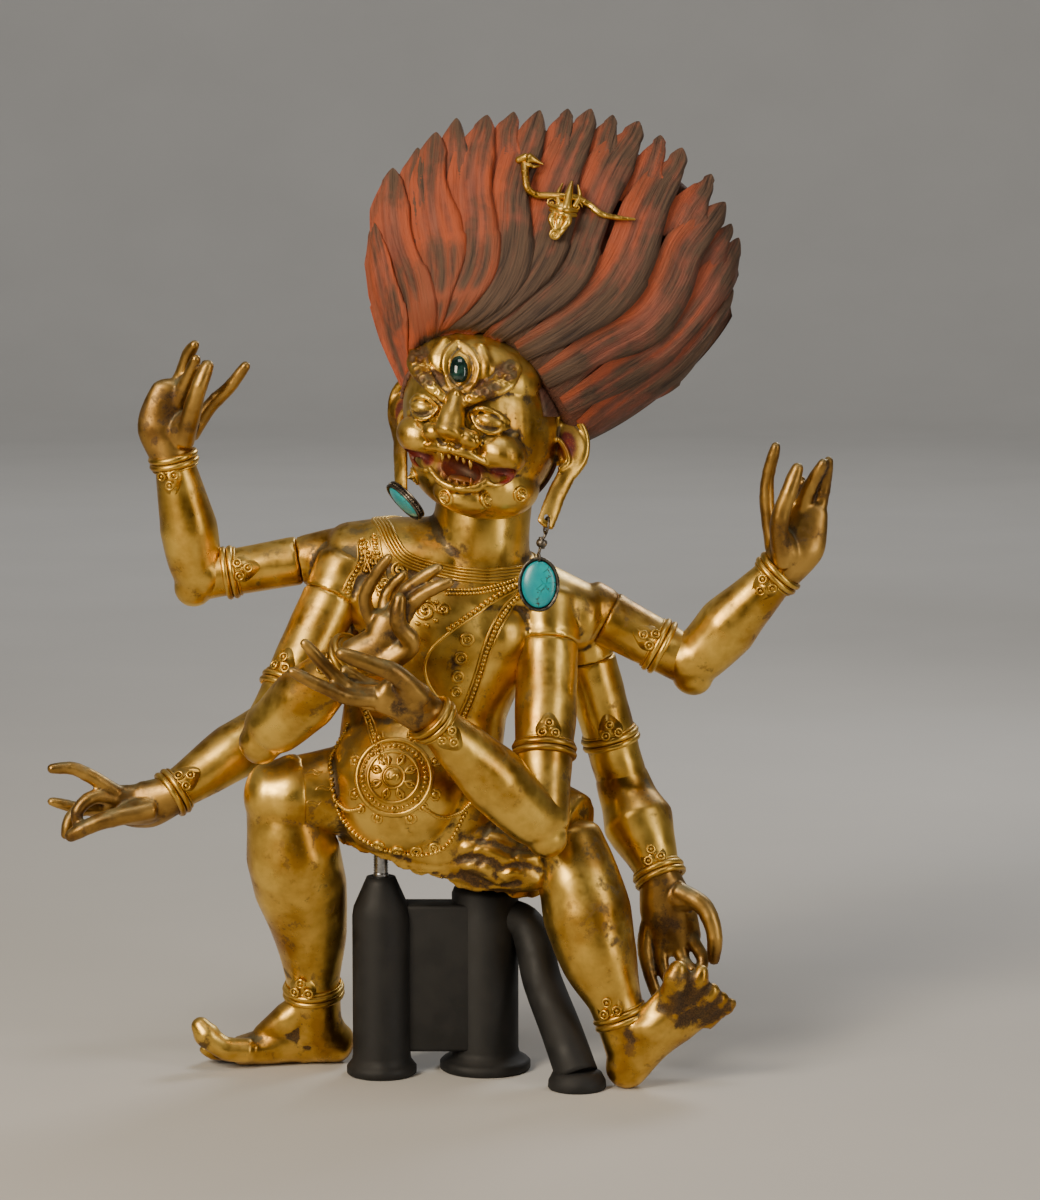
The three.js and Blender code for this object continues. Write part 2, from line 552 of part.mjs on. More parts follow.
function head() {
  const forms = [skull(), forehead(), jaw()];
  forms.push(mirrored((side) => faceLump(side * 22, -45, 10, [12, 10, 8.5], { around: 6, rings: 4 })));
  forms.push(mirrored((side) => faceLump(side * 25, -36, -9, [16, 17, 13], { around: 6, rings: 4 })));
  forms.push(sweep([face(0, -52, 20), face(0, -60, 8), face(0, -64, -1)], [[0, 5], [1, 9]], { sides: 6, dome: [0, 0.6] }));
  forms.push(mirrored((side) => faceLump(side * 10, -57, -4, [7, 8, 6], { around: 4, rings: 3 })));
  forms.push(faceLump(0, -53, 22, [6, 5, 4], { around: 5, rings: 3 }));
  forms.push(faceLump(0, -40, -40, [19, 14, 11], { around: 6, rings: 4 }));
  forms.push(mirrored(brow), beardCurls());
  forms.push(ring(face(0, -46, 38), headWay(0, -1, 0.35), thirdEyeHeight / 2 + 2, 2.4, { oval: 0.7, around: 8, sides: 3 }));
  const mouth = faceLump(0, -54, -22, [19, 16, 8]);
  const open = cut(fuse(forms), [mouth]).add(lips());
  const eared = open.add(mirrored(ear));
  const holes = [-1, 1].map((side) => {
    const way = earThin(side).multiplyScalar(12);
    return bar(lobeEnd(side).sub(way), lobeEnd(side).add(way), lobeHole / 2, 6);
  });
  const hollows = [-1, 1].map((side) => faceLump(side * 61, 2, -3, [7, 5, 9], { around: 4, rings: 3 }));
  return cut(eared, [...hollows, ...holes, neckSocket()]);
}

function thirdEye(grow = 0) {
  const centre = face(0, -46, 38);
  const geometry = new THREE.SphereGeometry(1, 8, 4);
  geometry.rotateX(Math.PI / 2);
  geometry.scale(thirdEyeWidth / 2 + grow, 5 + grow, thirdEyeHeight / 2 + grow);
  geometry.rotateX(radians(-19));
  geometry.applyMatrix4(headFrame.clone().setPosition(centre));
  return toSolid(geometry);
}

// Hair: two sheets that share their edges, spread like a fan from the hairline to a toothed top
const hairRoot = new THREE.CatmullRomCurve3([
  at(-38, -10, 454), at(-27, -27, 482), at(2, -31, 489), at(29, -31, 478), at(50, -25, 451), at(68, 2, 412),
]);
const hairTop = new THREE.CatmullRomCurve3([
  at(-50, 18, 588), at(-8, 24, 622), at(58, 27, 633), at(124, 26, 613), at(166, 24, 573), at(178, 20, 508),
]);

// The tooth's tip sits at this share of its width
const tipPlace = 0.72;
const hairTips = Math.round(hairTipCount);

function hairPoint(across, up, front) {
  const teeth = across * hairTips;
  const place = teeth - Math.floor(teeth + 1e-6);
  const rise = Math.min(place / tipPlace, (1 - place) / (1 - tipPlace));
  const root = hairRoot.getPointAt(across);
  const tip = hairTop.getPointAt(across);
  const start = root.clone().add(at(mix(-20, 46, Math.min(across * 1.6, 1)), 26, mix(58, 14, across * across)));
  const end = tip.clone().add(at(mix(-26, -12, across), -14, mix(-66, -34, across)));
  const lock = new THREE.CubicBezierCurve3(root, start, end, tip);
  const share = up * (1 - hairToothDepth * (1 - rise) / lock.getLength());
  const point = lock.getPoint(share);
  const edge = Math.sqrt(Math.max(0, 1 - (2 * across - 1) ** 4));
  const swell = Math.min(1, Math.sqrt(up / 0.16)) * (1 - up) ** 0.55;
  const ridge = hairRidge * rise * Math.sin(Math.PI * up);
  const thick = edge * (mix(46, 34, up) * unit * swell + (up > 0 ? ridge : 0));
  point.y += front ? -thick * 0.72 : thick * 1.15;
  return point;
}

function hairSheet(front) {
  const across = 2 * hairTips;
  const up = 4;
  const geometry = new THREE.PlaneGeometry(1, 1, across, up);
  const position = geometry.attributes.position;
  for (let i = 0; i < position.count; i += 1) {
    const column = Math.round((position.getX(i) + 0.5) * across);
    const row = Math.round((position.getY(i) + 0.5) * up);
    const tooth = Math.floor(column / 2) + (column % 2) * tipPlace;
    const point = hairPoint(tooth / hairTips, row / up, front);
    position.setXYZ(i, point.x, point.y, point.z);
  }
  if (!front) geometry.index.array.reverse();
  geometry.deleteAttribute('normal');
  geometry.deleteAttribute('uv');
  return geometry;
}

function hairFan() {
  const front = hairSheet(true).toNonIndexed().attributes.position.array;
  const back = hairSheet(false).toNonIndexed().attributes.position.array;
  const geometry = new THREE.BufferGeometry();
  geometry.setAttribute('position', new THREE.BufferAttribute(Float32Array.from([...front, ...back]), 3));
  return toSolid(geometry);
}

// The hairline arches over the forehead and slants down behind the ears
function hair() {
  const line = face(0, 8, 0);
  const arch = faceLump(0, -45, 5, [56, 54, 62], { around: 10, rings: 6 });
  const cap = skull(3 * unit).subtract(beyond(line, headWay(0, -0.9, -0.45))).subtract(arch);
  const clear = cut(fuse([hairFan(), cap]), [skull(seamGap), forehead(seamGap), jaw(seamGap), neckSocket()]);
  return cut(clear, [mirrored((side) => ear(side, seamGap)), mirrored((side) => brow(side, seamGap))]);
}

// The small snake on the hair, with a bud that has a ring
function hairSnake() {
  const body = [at(40, -24, 596), at(37, -26, 584), at(44, -28, 575), at(58, -30, 573), at(78, -29, 572), at(92, -27, 563), at(107, -24, 559)];
  const snake = sweep(body, [[0, 4], [0.15, 2.6], [0.35, 2.6], [0.6, 2.6], [1, 1]], { sides: 4, wide: [0, 1, 0], dome: [0, 1] });
  const headForm = lump(at(43, -25, 598), [6, 3.5, 4], { around: 5, rings: 3 });
  const bud = sweep([at(58, -31, 551), at(60, -31, 566), at(63, -30, 582)], [[0, 5], [0.25, 4], [0.5, 7.5], [0.62, 4], [1, 2]], { sides: 6, dome: [0.5, 0] });
  return fuse([snake, headForm, bud]);
}

// Earrings: a turquoise in a silver setting, the left one hung on a wire with a bead
const leftStone = { centre: at(47, -40, 328), way: new THREE.Vector3(0, -1, 0.12) };
const rightStone = { centre: at(-38, -30, 381), way: new THREE.Vector3(-0.75, -0.3, -0.6) };

function ovalDisc(stone, width, height, from, to) {
  const geometry = new THREE.CylinderGeometry(1, 1, to - from, 10);
  geometry.rotateX(Math.PI / 2);
  geometry.scale(width / 2, height / 2, 1);
  geometry.translate(0, 0, (from + to) / 2);
  geometry.applyMatrix4(facing(stone.centre, stone.way));
  return toSolid(geometry);
}

const stonePiece = (stone) => ovalDisc(stone, turquoiseWidth, turquoiseHeight, 0, turquoiseThickness);

function setting(stone) {
  const wide = turquoiseWidth + 2 * (bezelWall + seamGap);
  const tall = turquoiseHeight + 2 * (bezelWall + seamGap);
  const cup = ovalDisc(stone, wide, tall, -bezelWall - seamGap, turquoiseThickness * 0.6);
  const seat = ovalDisc(stone, wide - 2 * bezelWall, tall - 2 * bezelWall, -seamGap, turquoiseThickness);
  return cup.subtract(seat);
}

function leftDrop() {
  const lobe = lobeEnd(1);
  const top = leftStone.centre.clone().add(new THREE.Vector3(0, 0, turquoiseHeight / 2 + bezelWall));
  const middle = lobe.clone().lerp(top, 0.62);
  const loopRadius = 5;
  const loop = ring(lobe.clone().add(new THREE.Vector3(0, 0, -loopRadius)), earWide(1), loopRadius, wireDiameter / 2, { around: 8, sides: 3 });
  const start = lobe.clone().add(new THREE.Vector3(0, 0, -2 * loopRadius));
  const wire = sweep([start, middle, top], [[0, wireDiameter / 2 / unit], [1, wireDiameter / 2 / unit]], { sides: 4, dome: [0, 0] });
  const bead = lump(middle, Array(3).fill(earringBead / 2 / unit), { around: 6, rings: 4 });
  return { loop, wire, bead, top };
}

// The black stand under the pelvis: a column with a steel pin, a drum and a leg on one base web
const stand = { column: [-56, -6], drum: [12, 8], foot: [72, -44] };

function turned([x, y], profile) {
  const points = profile.map(([radius, height]) => new THREE.Vector2(radius, height));
  const geometry = new THREE.LatheGeometry(points, 10);
  geometry.rotateX(Math.PI / 2);
  geometry.translate(x * unit, y * unit, 0);
  return toSolid(geometry);
}

const hollowHeight = () => hollowTop * unit - seamGap;
const columnTop = 132 * unit;
const pinSocket = 16;

function standPin(grow = 0) {
  const pin = standPinDiameter / 2 + grow;
  const bottom = columnTop - pinSocket - grow;
  const top = hollowHeight() + grow;
  return turned(stand.column, [[0, bottom], [pin, bottom], [pin, top], [0, top]]);
}

function standBody() {
  const column = standColumnDiameter / 2;
  const drum = standDrumDiameter / 2;
  const drumTop = 122 * unit;
  const socket = standPinDiameter / 2 + seamGap;
  const socketFloor = columnTop - pinSocket - seamGap;
  const forms = [turned(stand.column, [[0, 0], [column + 4, 0], [column + 4, standFootHeight], [column, 2 * standFootHeight],
    [column, columnTop - 24], [column * 0.5, columnTop], [socket, columnTop], [socket, socketFloor], [0, socketFloor]])];
  forms.push(turned(stand.drum, [[0, 0], [drum + 8, 0], [drum + 8, standFootHeight], [drum, 2 * standFootHeight],
    [drum, drumTop], [drum * 0.6, drumTop], [drum * 0.6, hollowHeight()], [0, hollowHeight()]]));
  forms.push(bar(at(...stand.foot, 0), at(...stand.foot, 2 * standFootHeight), column, 10, column * 0.8));
  const leg = [at(14, 4, 104), at(38, 2, 98), at(50, -12, 62), at(62, -30, 34), at(...stand.foot, 8)];
  forms.push(sweep(leg, [[0, 12], [0.5, 13], [1, 14]], { sides: 8, dome: [0, 0] }));
  const web = new THREE.BoxGeometry((stand.drum[0] - stand.column[0]) * unit, 24 * unit, columnTop - 34);
  web.translate((stand.drum[0] + stand.column[0]) / 2 * unit, 1 * unit, columnTop / 2 - 2);
  forms.push(toSolid(web));
  return fuse(forms);
}

// The whole figure
const figure = new THREE.Group();
const add = (...args) => figure.add(toMesh(...args));
const placeAt = (point) => new THREE.Matrix4().setPosition(point);

const legs = { right: rightLeg(), left: leftLeg() };
const legClear = [rightLeg(seamGap), leftLeg(seamGap)];
const seamOf = (arm) => arm.shoulder.clone().lerp(arm.elbow, arm.seam);
const shoulder = (arm, grow = 0) => partAt(upperArm(arm, grow), seamOf(arm), wayBetween(arm.shoulder, arm.elbow))[0];
const stubs = Object.values(arms).map((arm) => shoulder(arm));
for (const [name, arm] of Object.entries(arms)) {
  const seam = seamOf(arm);
  const rest = partAt(upperArm(arm), seam, wayBetween(arm.shoulder, arm.elbow))[1];
  const others = Object.values(arms).filter((other) => other !== arm).map((other) => shoulder(other, seamGap));
  const upper = cut(fuse([rest, armlet(arm)]), [forearm(arm, seamGap), trunk(seamGap), shoulderBand(seamGap), ...others]);
  add(`${name}_upper_arm`, upper, gilding(), placeAt(seam));
  const lower = fuse([forearm(arm), bracelet(arm)]);
  const handWay = wayBetween(arm.elbow, arm.wrist);
  const clearEnd = arm.wrist.clone().addScaledVector(handWay, seamGap);
  const cuff = sweep([arm.elbow.clone().lerp(arm.wrist, 0.5), clearEnd], [[0, arm.fore[2] * 1.5], [1, arm.fore[2] * 1.5]], { dome: [0, 0] });
  add(`${name}_forearm`, lower, gilding(), placeAt(arm.elbow));
  add(`${name}_hand`, hand(hands[name], arm.wrist).subtract(cuff), wornGilding(), placeAt(arm.wrist));
}

const dressed = fuse([trunk(), rightThigh(), leftThigh(), ...stubs, collar(), chestStrand(), shoulderBand()]);
const adorned = fuse([dressed, bellyWheel(), bellyBosses(), clothFolds()]);
const torso = cut(adorned, [brokenEdge(), pelvisHollow(), standPin(seamGap), ...legClear]);
add('torso', torso, gilding(), placeAt(at(-18, 5, 148)));

add('right_lower_leg', cut(fuse([legs.right, rightFoot()]), [floorCut()]), gilding(), placeAt(at(-112, -14, 150)));
add('left_lower_leg', cut(fuse([legs.left, leftFoot()]), [floorCut()]), gilding(), placeAt(at(76, -22, 140)));

add('head', head().subtract(thirdEye(seamGap)), gilding(), headFrame);
add('third_eye_stone', thirdEye(), darkStone(), headFrame);
const snake = hairSnake();
add('flame_hair', hair().subtract(snake), paintedHair(), placeAt(at(19, 0, 446)));
add('hair_snake', snake, gilding(), placeAt(at(58, -30, 573)));

const drop = leftDrop();
add('left_earring_drop', fuse([drop.loop, drop.wire, drop.bead]).subtract(ovalDisc(leftStone, turquoiseWidth + 2 * bezelWall + 4 * seamGap,
  turquoiseHeight + 2 * bezelWall + 4 * seamGap, -bezelWall - 2 * seamGap, turquoiseThickness)), darkSilver(), placeAt(lobeEnd(1)));
for (const [name, gem] of [['left', leftStone], ['right', rightStone]]) {
  add(`${name}_earring_setting`, setting(gem), darkSilver(), facing(gem.centre, gem.way));
  add(`${name}_earring_turquoise`, stonePiece(gem), turquoise(), facing(gem.centre, gem.way));
}

add('stand_body', standBody(), blackPaint(), placeAt(at(...stand.drum, 0)));
add('stand_pin', standPin(), steel(), placeAt(at(...stand.column, columnTop / unit)));

export default figure;
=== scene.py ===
"""A six-armed Mahakala in gilt copper: hammered limbs, chased ornament, painted flame hair."""

import math

import bmesh
import bpy
import numpy as np
from mathutils import Matrix, Vector
from mathutils.bvhtree import BVHTree
from mathutils.kdtree import KDTree


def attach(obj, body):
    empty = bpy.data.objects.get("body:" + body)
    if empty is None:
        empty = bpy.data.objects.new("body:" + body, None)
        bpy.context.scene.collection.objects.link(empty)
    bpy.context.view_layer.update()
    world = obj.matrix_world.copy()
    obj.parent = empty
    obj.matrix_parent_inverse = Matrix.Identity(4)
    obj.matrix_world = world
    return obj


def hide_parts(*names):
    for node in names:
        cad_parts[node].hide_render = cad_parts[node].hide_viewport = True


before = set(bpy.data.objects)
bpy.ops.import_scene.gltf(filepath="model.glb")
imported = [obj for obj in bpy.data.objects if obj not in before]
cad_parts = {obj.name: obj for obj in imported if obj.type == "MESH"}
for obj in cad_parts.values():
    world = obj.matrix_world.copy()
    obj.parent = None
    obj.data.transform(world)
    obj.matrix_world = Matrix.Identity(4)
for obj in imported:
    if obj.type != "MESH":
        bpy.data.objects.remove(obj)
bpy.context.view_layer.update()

# Lengths below are millimetres, in the frame of the solids. A piece is scaled to metres at its end.
METRE = 0.001
# How far apart the points of each skin lie.
ARM_STEP = 1.7
HAND_STEP = 1.15
FACE_STEP = 0.98
TORSO_STEP = 1.85
LEG_STEP = 1.8
# Smooth lines are read at this many places.
ROUTE_STEPS = 60


# Routes and forms.
def unit(way):
    way = np.asarray(way, float)
    return way / np.linalg.norm(way)


def unit_rows(ways):
    """Directions, one to a row, brought to length one."""
    return ways / np.linalg.norm(ways, axis=1)[:, None]


def read_along(line, share):
    """Places or directions of a line at shares of its length, one row for each share."""
    steps = len(line) - 1
    return np.column_stack([np.interp(share * steps, np.arange(steps + 1), column) for column in line.T])


def smooth_route(points, count):
    """Places at equal distances on a smooth line through the points, their directions and the length."""
    pts = np.array(points, float)
    ends = np.vstack([2 * pts[0] - pts[1], pts, 2 * pts[-1] - pts[-2]])
    fine = []
    for i in range(len(pts) - 1):
        p0, p1, p2, p3 = ends[i:i + 4]
        d0, d1, d2 = (max(np.linalg.norm(b - a), 1e-6) ** 0.5 for a, b in ((p0, p1), (p1, p2), (p2, p3)))
        m1 = ((p1 - p0) / d0 - (p2 - p0) / (d0 + d1) + (p2 - p1) / d1) * d1
        m2 = ((p2 - p1) / d1 - (p3 - p1) / (d1 + d2) + (p3 - p2) / d2) * d1
        t = np.linspace(0, 1, 24, endpoint=i == len(pts) - 2)[:, None]
        fine.append((2 * t**3 - 3 * t**2 + 1) * p1 + (t**3 - 2 * t**2 + t) * m1
                    + (3 * t**2 - 2 * t**3) * p2 + (t**3 - t**2) * m2)
    fine = np.vstack(fine)
    run = np.concatenate([[0], np.cumsum(np.linalg.norm(np.diff(fine, axis=0), axis=1))])
    at = np.linspace(0, run[-1], count + 1)
    places = np.column_stack([np.interp(at, run, fine[:, k]) for k in range(3)])
    return places, unit_rows(np.gradient(places, axis=0)), run[-1]


def coords(verts):
    return np.array([v.co[:] for v in verts])


def place(verts, co):
    for v, p in zip(verts, co):
        v.co = p


def wrapped_grid(bm, across, up):
    """A grid to be closed round on itself; each point's share across and up. Its seam is merged later."""
    made = bmesh.ops.create_grid(bm, x_segments=across, y_segments=up, size=1)["verts"]
    co = coords(made)
    return made, (co[:, 0] + 1) / 2, (co[:, 1] + 1) / 2


def limb(bm, route, rows, wide=(1, 0, 0), dome=(1, 1), around=28, step=3.0):
    """A tube with round ends drawn along a route. A row is (share of the route, half width, half depth)."""
    caps = 5
    places, ways, length = smooth_route(route, ROUTE_STEPS)
    body = max(int(length / step), 4)
    levels = body + 2 * caps
    made, turn, rise = wrapped_grid(bm, around, levels)
    angle, level = turn * math.tau, rise * levels
    rows = np.array([(r[0], r[1], r[-1]) for r in rows], float)
    share = np.clip((level - caps) / body, 0, 1)
    width = np.interp(share, rows[:, 0], rows[:, 1])
    depth = np.interp(share, rows[:, 0], rows[:, 2])
    first = level < caps
    last = level > levels - caps
    rim = np.where(first, level / caps, np.where(last, (levels - level) / caps, 1)) * np.pi / 2
    beyond = np.cos(rim) * (np.where(last, dome[1] * rows[-1, 1], 0)
                            - np.where(first, dome[0] * rows[0, 1], 0))
    spot = read_along(places, share)
    way = unit_rows(read_along(ways, share))
    across = unit_rows(np.asarray(wide, float) - way * (way @ np.asarray(wide, float))[:, None])
    inward = np.cross(across, way)
    reach = np.sin(rim)
    side, front = np.cos(angle) * width * reach, np.sin(angle) * depth * reach
    place(made, spot + way * beyond[:, None] + (across * side[:, None] + inward * front[:, None]))
    return made, share, side


def frame_at(point, way, up=(0, 0, 1)):
    """A matrix with its Z along way and its Y as near up as it can be."""
    z = unit(way)
    x = np.cross(up, z)
    x = unit(x if np.linalg.norm(x) > 1e-3 else np.cross((0, 1, 0), z))
    y = np.cross(z, x)
    m = Matrix.Identity(4)
    for k in range(3):
        m[k][0], m[k][1], m[k][2], m[k][3] = x[k], y[k], z[k], point[k]
    return m


def lump(bm, centre, half, turn=None, around=24, levels=16):
    """An oval lump with half sizes along its own axes."""
    made, turned, rise = wrapped_grid(bm, around, levels)
    angle, polar = turned * math.tau, rise * math.pi
    ball = np.column_stack([np.sin(polar) * np.cos(angle), np.sin(polar) * np.sin(angle),
                            -np.cos(polar)]) * half
    if turn is not None:
        ball = ball @ np.array(turn.to_3x3()).T
    place(made, ball + np.array(centre, float))
    return made


def hoop(bm, matrix, radius, thick, around=36, section=8, tall=1.0):
    """A ring of round section lying in the XY plane of the matrix."""
    made, turn, rise = wrapped_grid(bm, around, section)
    a, b = turn * math.tau, rise * math.tau
    out = radius + thick * np.cos(b)
    ring = np.column_stack([out * np.cos(a), out * np.sin(a), tall * thick * np.sin(b)])
    m = np.array(matrix)
    place(made, ring @ m[:3, :3].T + m[:3, 3])
    return made


def bead(bm, point, size, detail=2):
    half = size if isinstance(size, (tuple, list)) else (size, size, size)
    m = Matrix.Translation(point) @ Matrix.Diagonal((*half, 1))
    bmesh.ops.create_icosphere(bm, subdivisions=detail, radius=1, matrix=m)


# Skins and chased lines.
def raw_piece(name, bm, close=True):
    """A piece from the forms in bm, with their seams merged and every face turned outward."""
    if close:
        bmesh.ops.remove_doubles(bm, verts=bm.verts, dist=0.0008)
        bmesh.ops.recalc_face_normals(bm, faces=bm.faces)
    mesh = bpy.data.meshes.new(name)
    bm.to_mesh(mesh)
    bm.free()
    piece = bpy.data.objects.new(name, mesh)
    bpy.context.scene.collection.objects.link(piece)
    return piece


def settle(piece):
    """The piece keeps the shape that its modifiers give it."""
    depsgraph = bpy.context.evaluated_depsgraph_get()
    mesh = bpy.data.meshes.new_from_object(piece.evaluated_get(depsgraph))
    piece.modifiers.clear()
    piece.data = mesh
    return piece


def skin(name, bm, step, soften):
    """One closed skin over all the forms, softened where they meet."""
    piece = raw_piece(name, bm)
    remesh = piece.modifiers.new("skin", "REMESH")
    remesh.mode = "VOXEL"
    remesh.voxel_size = step
    remesh.adaptivity = 0
    if soften:
        smooth = piece.modifiers.new("soften", "SMOOTH")
        smooth.factor = 0.5
        smooth.iterations = soften
    return settle(piece)


class Surface:
    """The skin's points and outward ways, for chasing lines into it."""

    def __init__(self, piece):
        self.piece = piece
        self.read()

    def read(self):
        mesh = self.piece.data
        count = len(mesh.vertices)
        self.co = np.empty(count * 3, np.float32)
        mesh.vertices.foreach_get("co", self.co)
        self.co = self.co.reshape(-1, 3).astype(float)
        self.way = np.empty(count * 3, np.float32)
        mesh.vertices.foreach_get("normal", self.way)
        self.way = self.way.reshape(-1, 3).astype(float)
        self.tree = None

    def write(self):
        self.piece.data.vertices.foreach_set("co", self.co.astype(np.float32).ravel())
        self.piece.data.update()
        self.read()

    def near(self, point, way=None):
        if self.tree is None:
            bm = bmesh.new()
            bm.from_mesh(self.piece.data)
            self.tree = BVHTree.FromBMesh(bm)
            bm.free()
        if way is not None:
            spot, normal, _, _ = self.tree.ray_cast(Vector(point), Vector(way))
            if spot is not None:
                return np.array(spot), np.array(normal)
        spot, normal, _, _ = self.tree.find_nearest(Vector(point))
        return np.array(spot), np.array(normal)

    def distance(self, points, reach):
        """Distance of each nearby skin point from a line through the points."""
        pts = np.asarray(points, float)
        low, high = pts.min(0) - reach, pts.max(0) + reach
        near = np.flatnonzero(np.all((self.co > low) & (self.co < high), axis=1))
        best = np.full(len(near), 1e9)
        for a, b in zip(pts[:-1], pts[1:]):
            run = b - a
            t = np.clip(((self.co[near] - a) @ run) / max(run @ run, 1e-9), 0, 1)
            best = np.minimum(best, np.linalg.norm(self.co[near] - a - t[:, None] * run, axis=1))
        return near, best

    def chase(self, points, width, height, smooth=14):
        """A soft ridge, or a groove where height is negative, along a smooth line."""
        line = smooth_route(points, smooth)[0] if len(points) > 1 else np.array([points[0], points[0]])
        near, gap = self.distance(line, width * 2.6)
        self.co[near] += self.way[near] * (height * np.exp(-(gap / width) ** 2))[:, None]

    def engrave(self, points, width, depth):
        """A cut line with a small raised edge on both sides."""
        line = smooth_route(points, 18)[0]
        near, gap = self.distance(line, width * 4)
        cut, edge = np.exp(-(gap / width) ** 2), np.exp(-((gap - 2 * width) / width) ** 2)
        self.co[near] += self.way[near] * (0.4 * depth * edge - depth * cut)[:, None]


def hammer(surface, size, depth, seed=0):
    """Slow unevenness of sheet that was raised with a hammer."""
    rng = np.random.default_rng(seed)
    total = np.zeros(len(surface.co))
    for _ in range(7):
        way = rng.normal(size=3)
        way *= 2 * np.pi / (size * rng.uniform(0.7, 1.6)) / np.linalg.norm(way)
        total += np.sin(surface.co @ way + rng.uniform(0, 6.3))
    surface.co += surface.way * (depth * total / 7 * 2)[:, None]


# Attributes for wear.
def mesh_links(mesh):
    edges = np.empty(len(mesh.edges) * 2, np.int64)
    mesh.edges.foreach_get("vertices", edges)
    return edges.reshape(-1, 2)


def averaged(values, edges, count, times):
    degree = np.maximum(np.bincount(edges.ravel(), minlength=count), 1)
    for _ in range(times):
        total = np.column_stack([
            np.bincount(edges[:, 0], values[edges[:, 1], k], count)
            + np.bincount(edges[:, 1], values[edges[:, 0], k], count)
            for k in range(values.shape[1])])
        values = total / degree[:, None]
    return values


def write_attribute(mesh, name, values):
    attribute = mesh.attributes.get(name) or mesh.attributes.new(name, "FLOAT", "POINT")
    attribute.data.foreach_set("value", np.asarray(values, np.float32))


# Places where the gilding is made brown, most of them patina: the middle, half sizes and how much.
STAINS = [
    ((26, -34, 146), (40, 30, 28), 0.8), ((-10, -20, 340), (74, 40, 24), 0.45),
    ((-66, 0, 346), (16, 40, 28), 0.55), ((-74, -20, 300), (22, 34, 36), 0.45),
    ((-100, -10, 176), (44, 44, 13), 0.6), ((84, -30, 168), (34, 38, 28), 0.62),
    ((96, -50, 118), (18, 34, 40), 0.6), ((36, -80, 238), (34, 26, 13), 0.65),
    ((70, -60, 196), (18, 40, 18), 0.5), ((130, 0, 206), (30, 44, 36), 0.6),
    ((-100, -30, 146), (16, 38, 34), 0.45), ((-104, 0, 62), (26, 44, 13), 0.6),
    ((112, -40, 42), (28, 34, 13), 0.55), ((-146, 20, 16), (36, 34, 14), 0.5),
    # The toes of both feet are made darkest.
    ((157, -52, 67), (37, 40, 30), 1.2), ((134, -56, 80), (14, 16, 12), 0.7),
    ((-175, 8, 24), (11, 26, 18), 1.1), ((-166, 26, 8), (18, 22, 10), 1.1),
    ((-124, 0, 246), (32, 44, 28), 0.6), ((94, 0, 300), (36, 44, 15), 0.5),
    ((-130, 10, 332), (34, 44, 17), 0.5), ((8, -40, 378), (44, 44, 11), 0.2),
    ((-150, 0, 316), (14, 40, 14), 0.5), ((-186, 0, 402), (16, 24, 16), 0.5),
    ((150, 0, 268), (18, 40, 14), 0.5), ((28, -50, 290), (24, 24, 24), 0.35),
    ((-3, -50, 274), (13, 30, 30), 0.4), ((112, 20, 196), (22, 50, 20), 0.5),
]


def note_wear(mesh, fine=0.22, broad=1.1, stains_and_shade=()):
    """hollow is high in grooves and corners and at the stains given, which on the face include painted
    shade; crest on edges and high points.
    """
    count = len(mesh.vertices)
    co = np.empty(count * 3, np.float32)
    way = np.empty(count * 3, np.float32)
    mesh.vertices.foreach_get("co", co)
    mesh.vertices.foreach_get("normal", way)
    co, way = co.reshape(-1, 3).astype(float), way.reshape(-1, 3).astype(float)
    edges = mesh_links(mesh)
    near = averaged(co, edges, count, 2)
    far = averaged(near, edges, count, 14)
    small = np.einsum("ij,ij->i", near - co, way) / fine
    large = np.einsum("ij,ij->i", far - co, way) / broad
    mixed = averaged((0.6 * small + 0.8 * large)[:, None], edges, count, 1)[:, 0]
    # Stains darken hollow; those of the face include painted shade under the jaw and inside the mouth.
    stained_and_shaded = np.zeros(count)
    for centre, half, strength in stains_and_shade:
        apart = np.linalg.norm((co - centre) / half, axis=1)
        stained_and_shaded = np.maximum(stained_and_shaded, strength * np.clip((1.25 - apart) / 0.6, 0, 1))
    write_attribute(mesh, "hollow", np.clip(np.maximum(mixed, 0.4 * mixed + stained_and_shaded), 0, 1))
    write_attribute(mesh, "crest", np.clip(-mixed, 0, 1) * (1 - 0.85 * np.clip(stained_and_shaded, 0, 1)))


# The figure's measures.
ARMS = {
    "raised_right": dict(shoulder=(-76, 16, 343), elbow=(-174, 14, 326), wrist=(-190, 2, 408),
                         upper=(17, 15.5, 15), fore=(18, 19, 13.5), seam=0.34, armlet=0.8,
                         front=(-0.3, -1, 0.1)),
    "main_right": dict(shoulder=(-77, -4, 336), elbow=(-126, -46, 234), wrist=(-69, -82, 289),
                       upper=(20, 18, 17), fore=(20, 21.5, 14), seam=0.2, armlet=0.74,
                       front=(-0.5, -0.8, 0.2)),
    "low_right": dict(shoulder=(-60, 28, 322), elbow=(-128, 40, 225), wrist=(-196, 12, 182),
                      upper=(18, 17, 16), fore=(18.5, 19.5, 14), seam=0.32, armlet=0.74,
                      front=(-0.2, -1, 0.2)),
    "raised_left": dict(shoulder=(78, 16, 307), elbow=(147, 12, 270), wrist=(205, 0, 333),
                        upper=(19, 17, 16), fore=(19, 20.5, 14), seam=0.2, armlet=0.7, front=(0, -1, 0.2)),
    "main_left": dict(shoulder=(54, 4, 313), elbow=(49, -60, 176), wrist=(-22, -100, 252),
                      upper=(20.5, 19.5, 17.5), fore=(19.5, 21.5, 14), seam=0.2, armlet=0.68,
                      front=(0.1, -1, 0)),
    "low_left": dict(shoulder=(72, 28, 300), elbow=(104, 36, 184), wrist=(128, 6, 127),
                     upper=(18, 17.5, 17), fore=(19.5, 24, 15), seam=0.26, armlet=0.72, front=(0.1, -1, 0)),
}

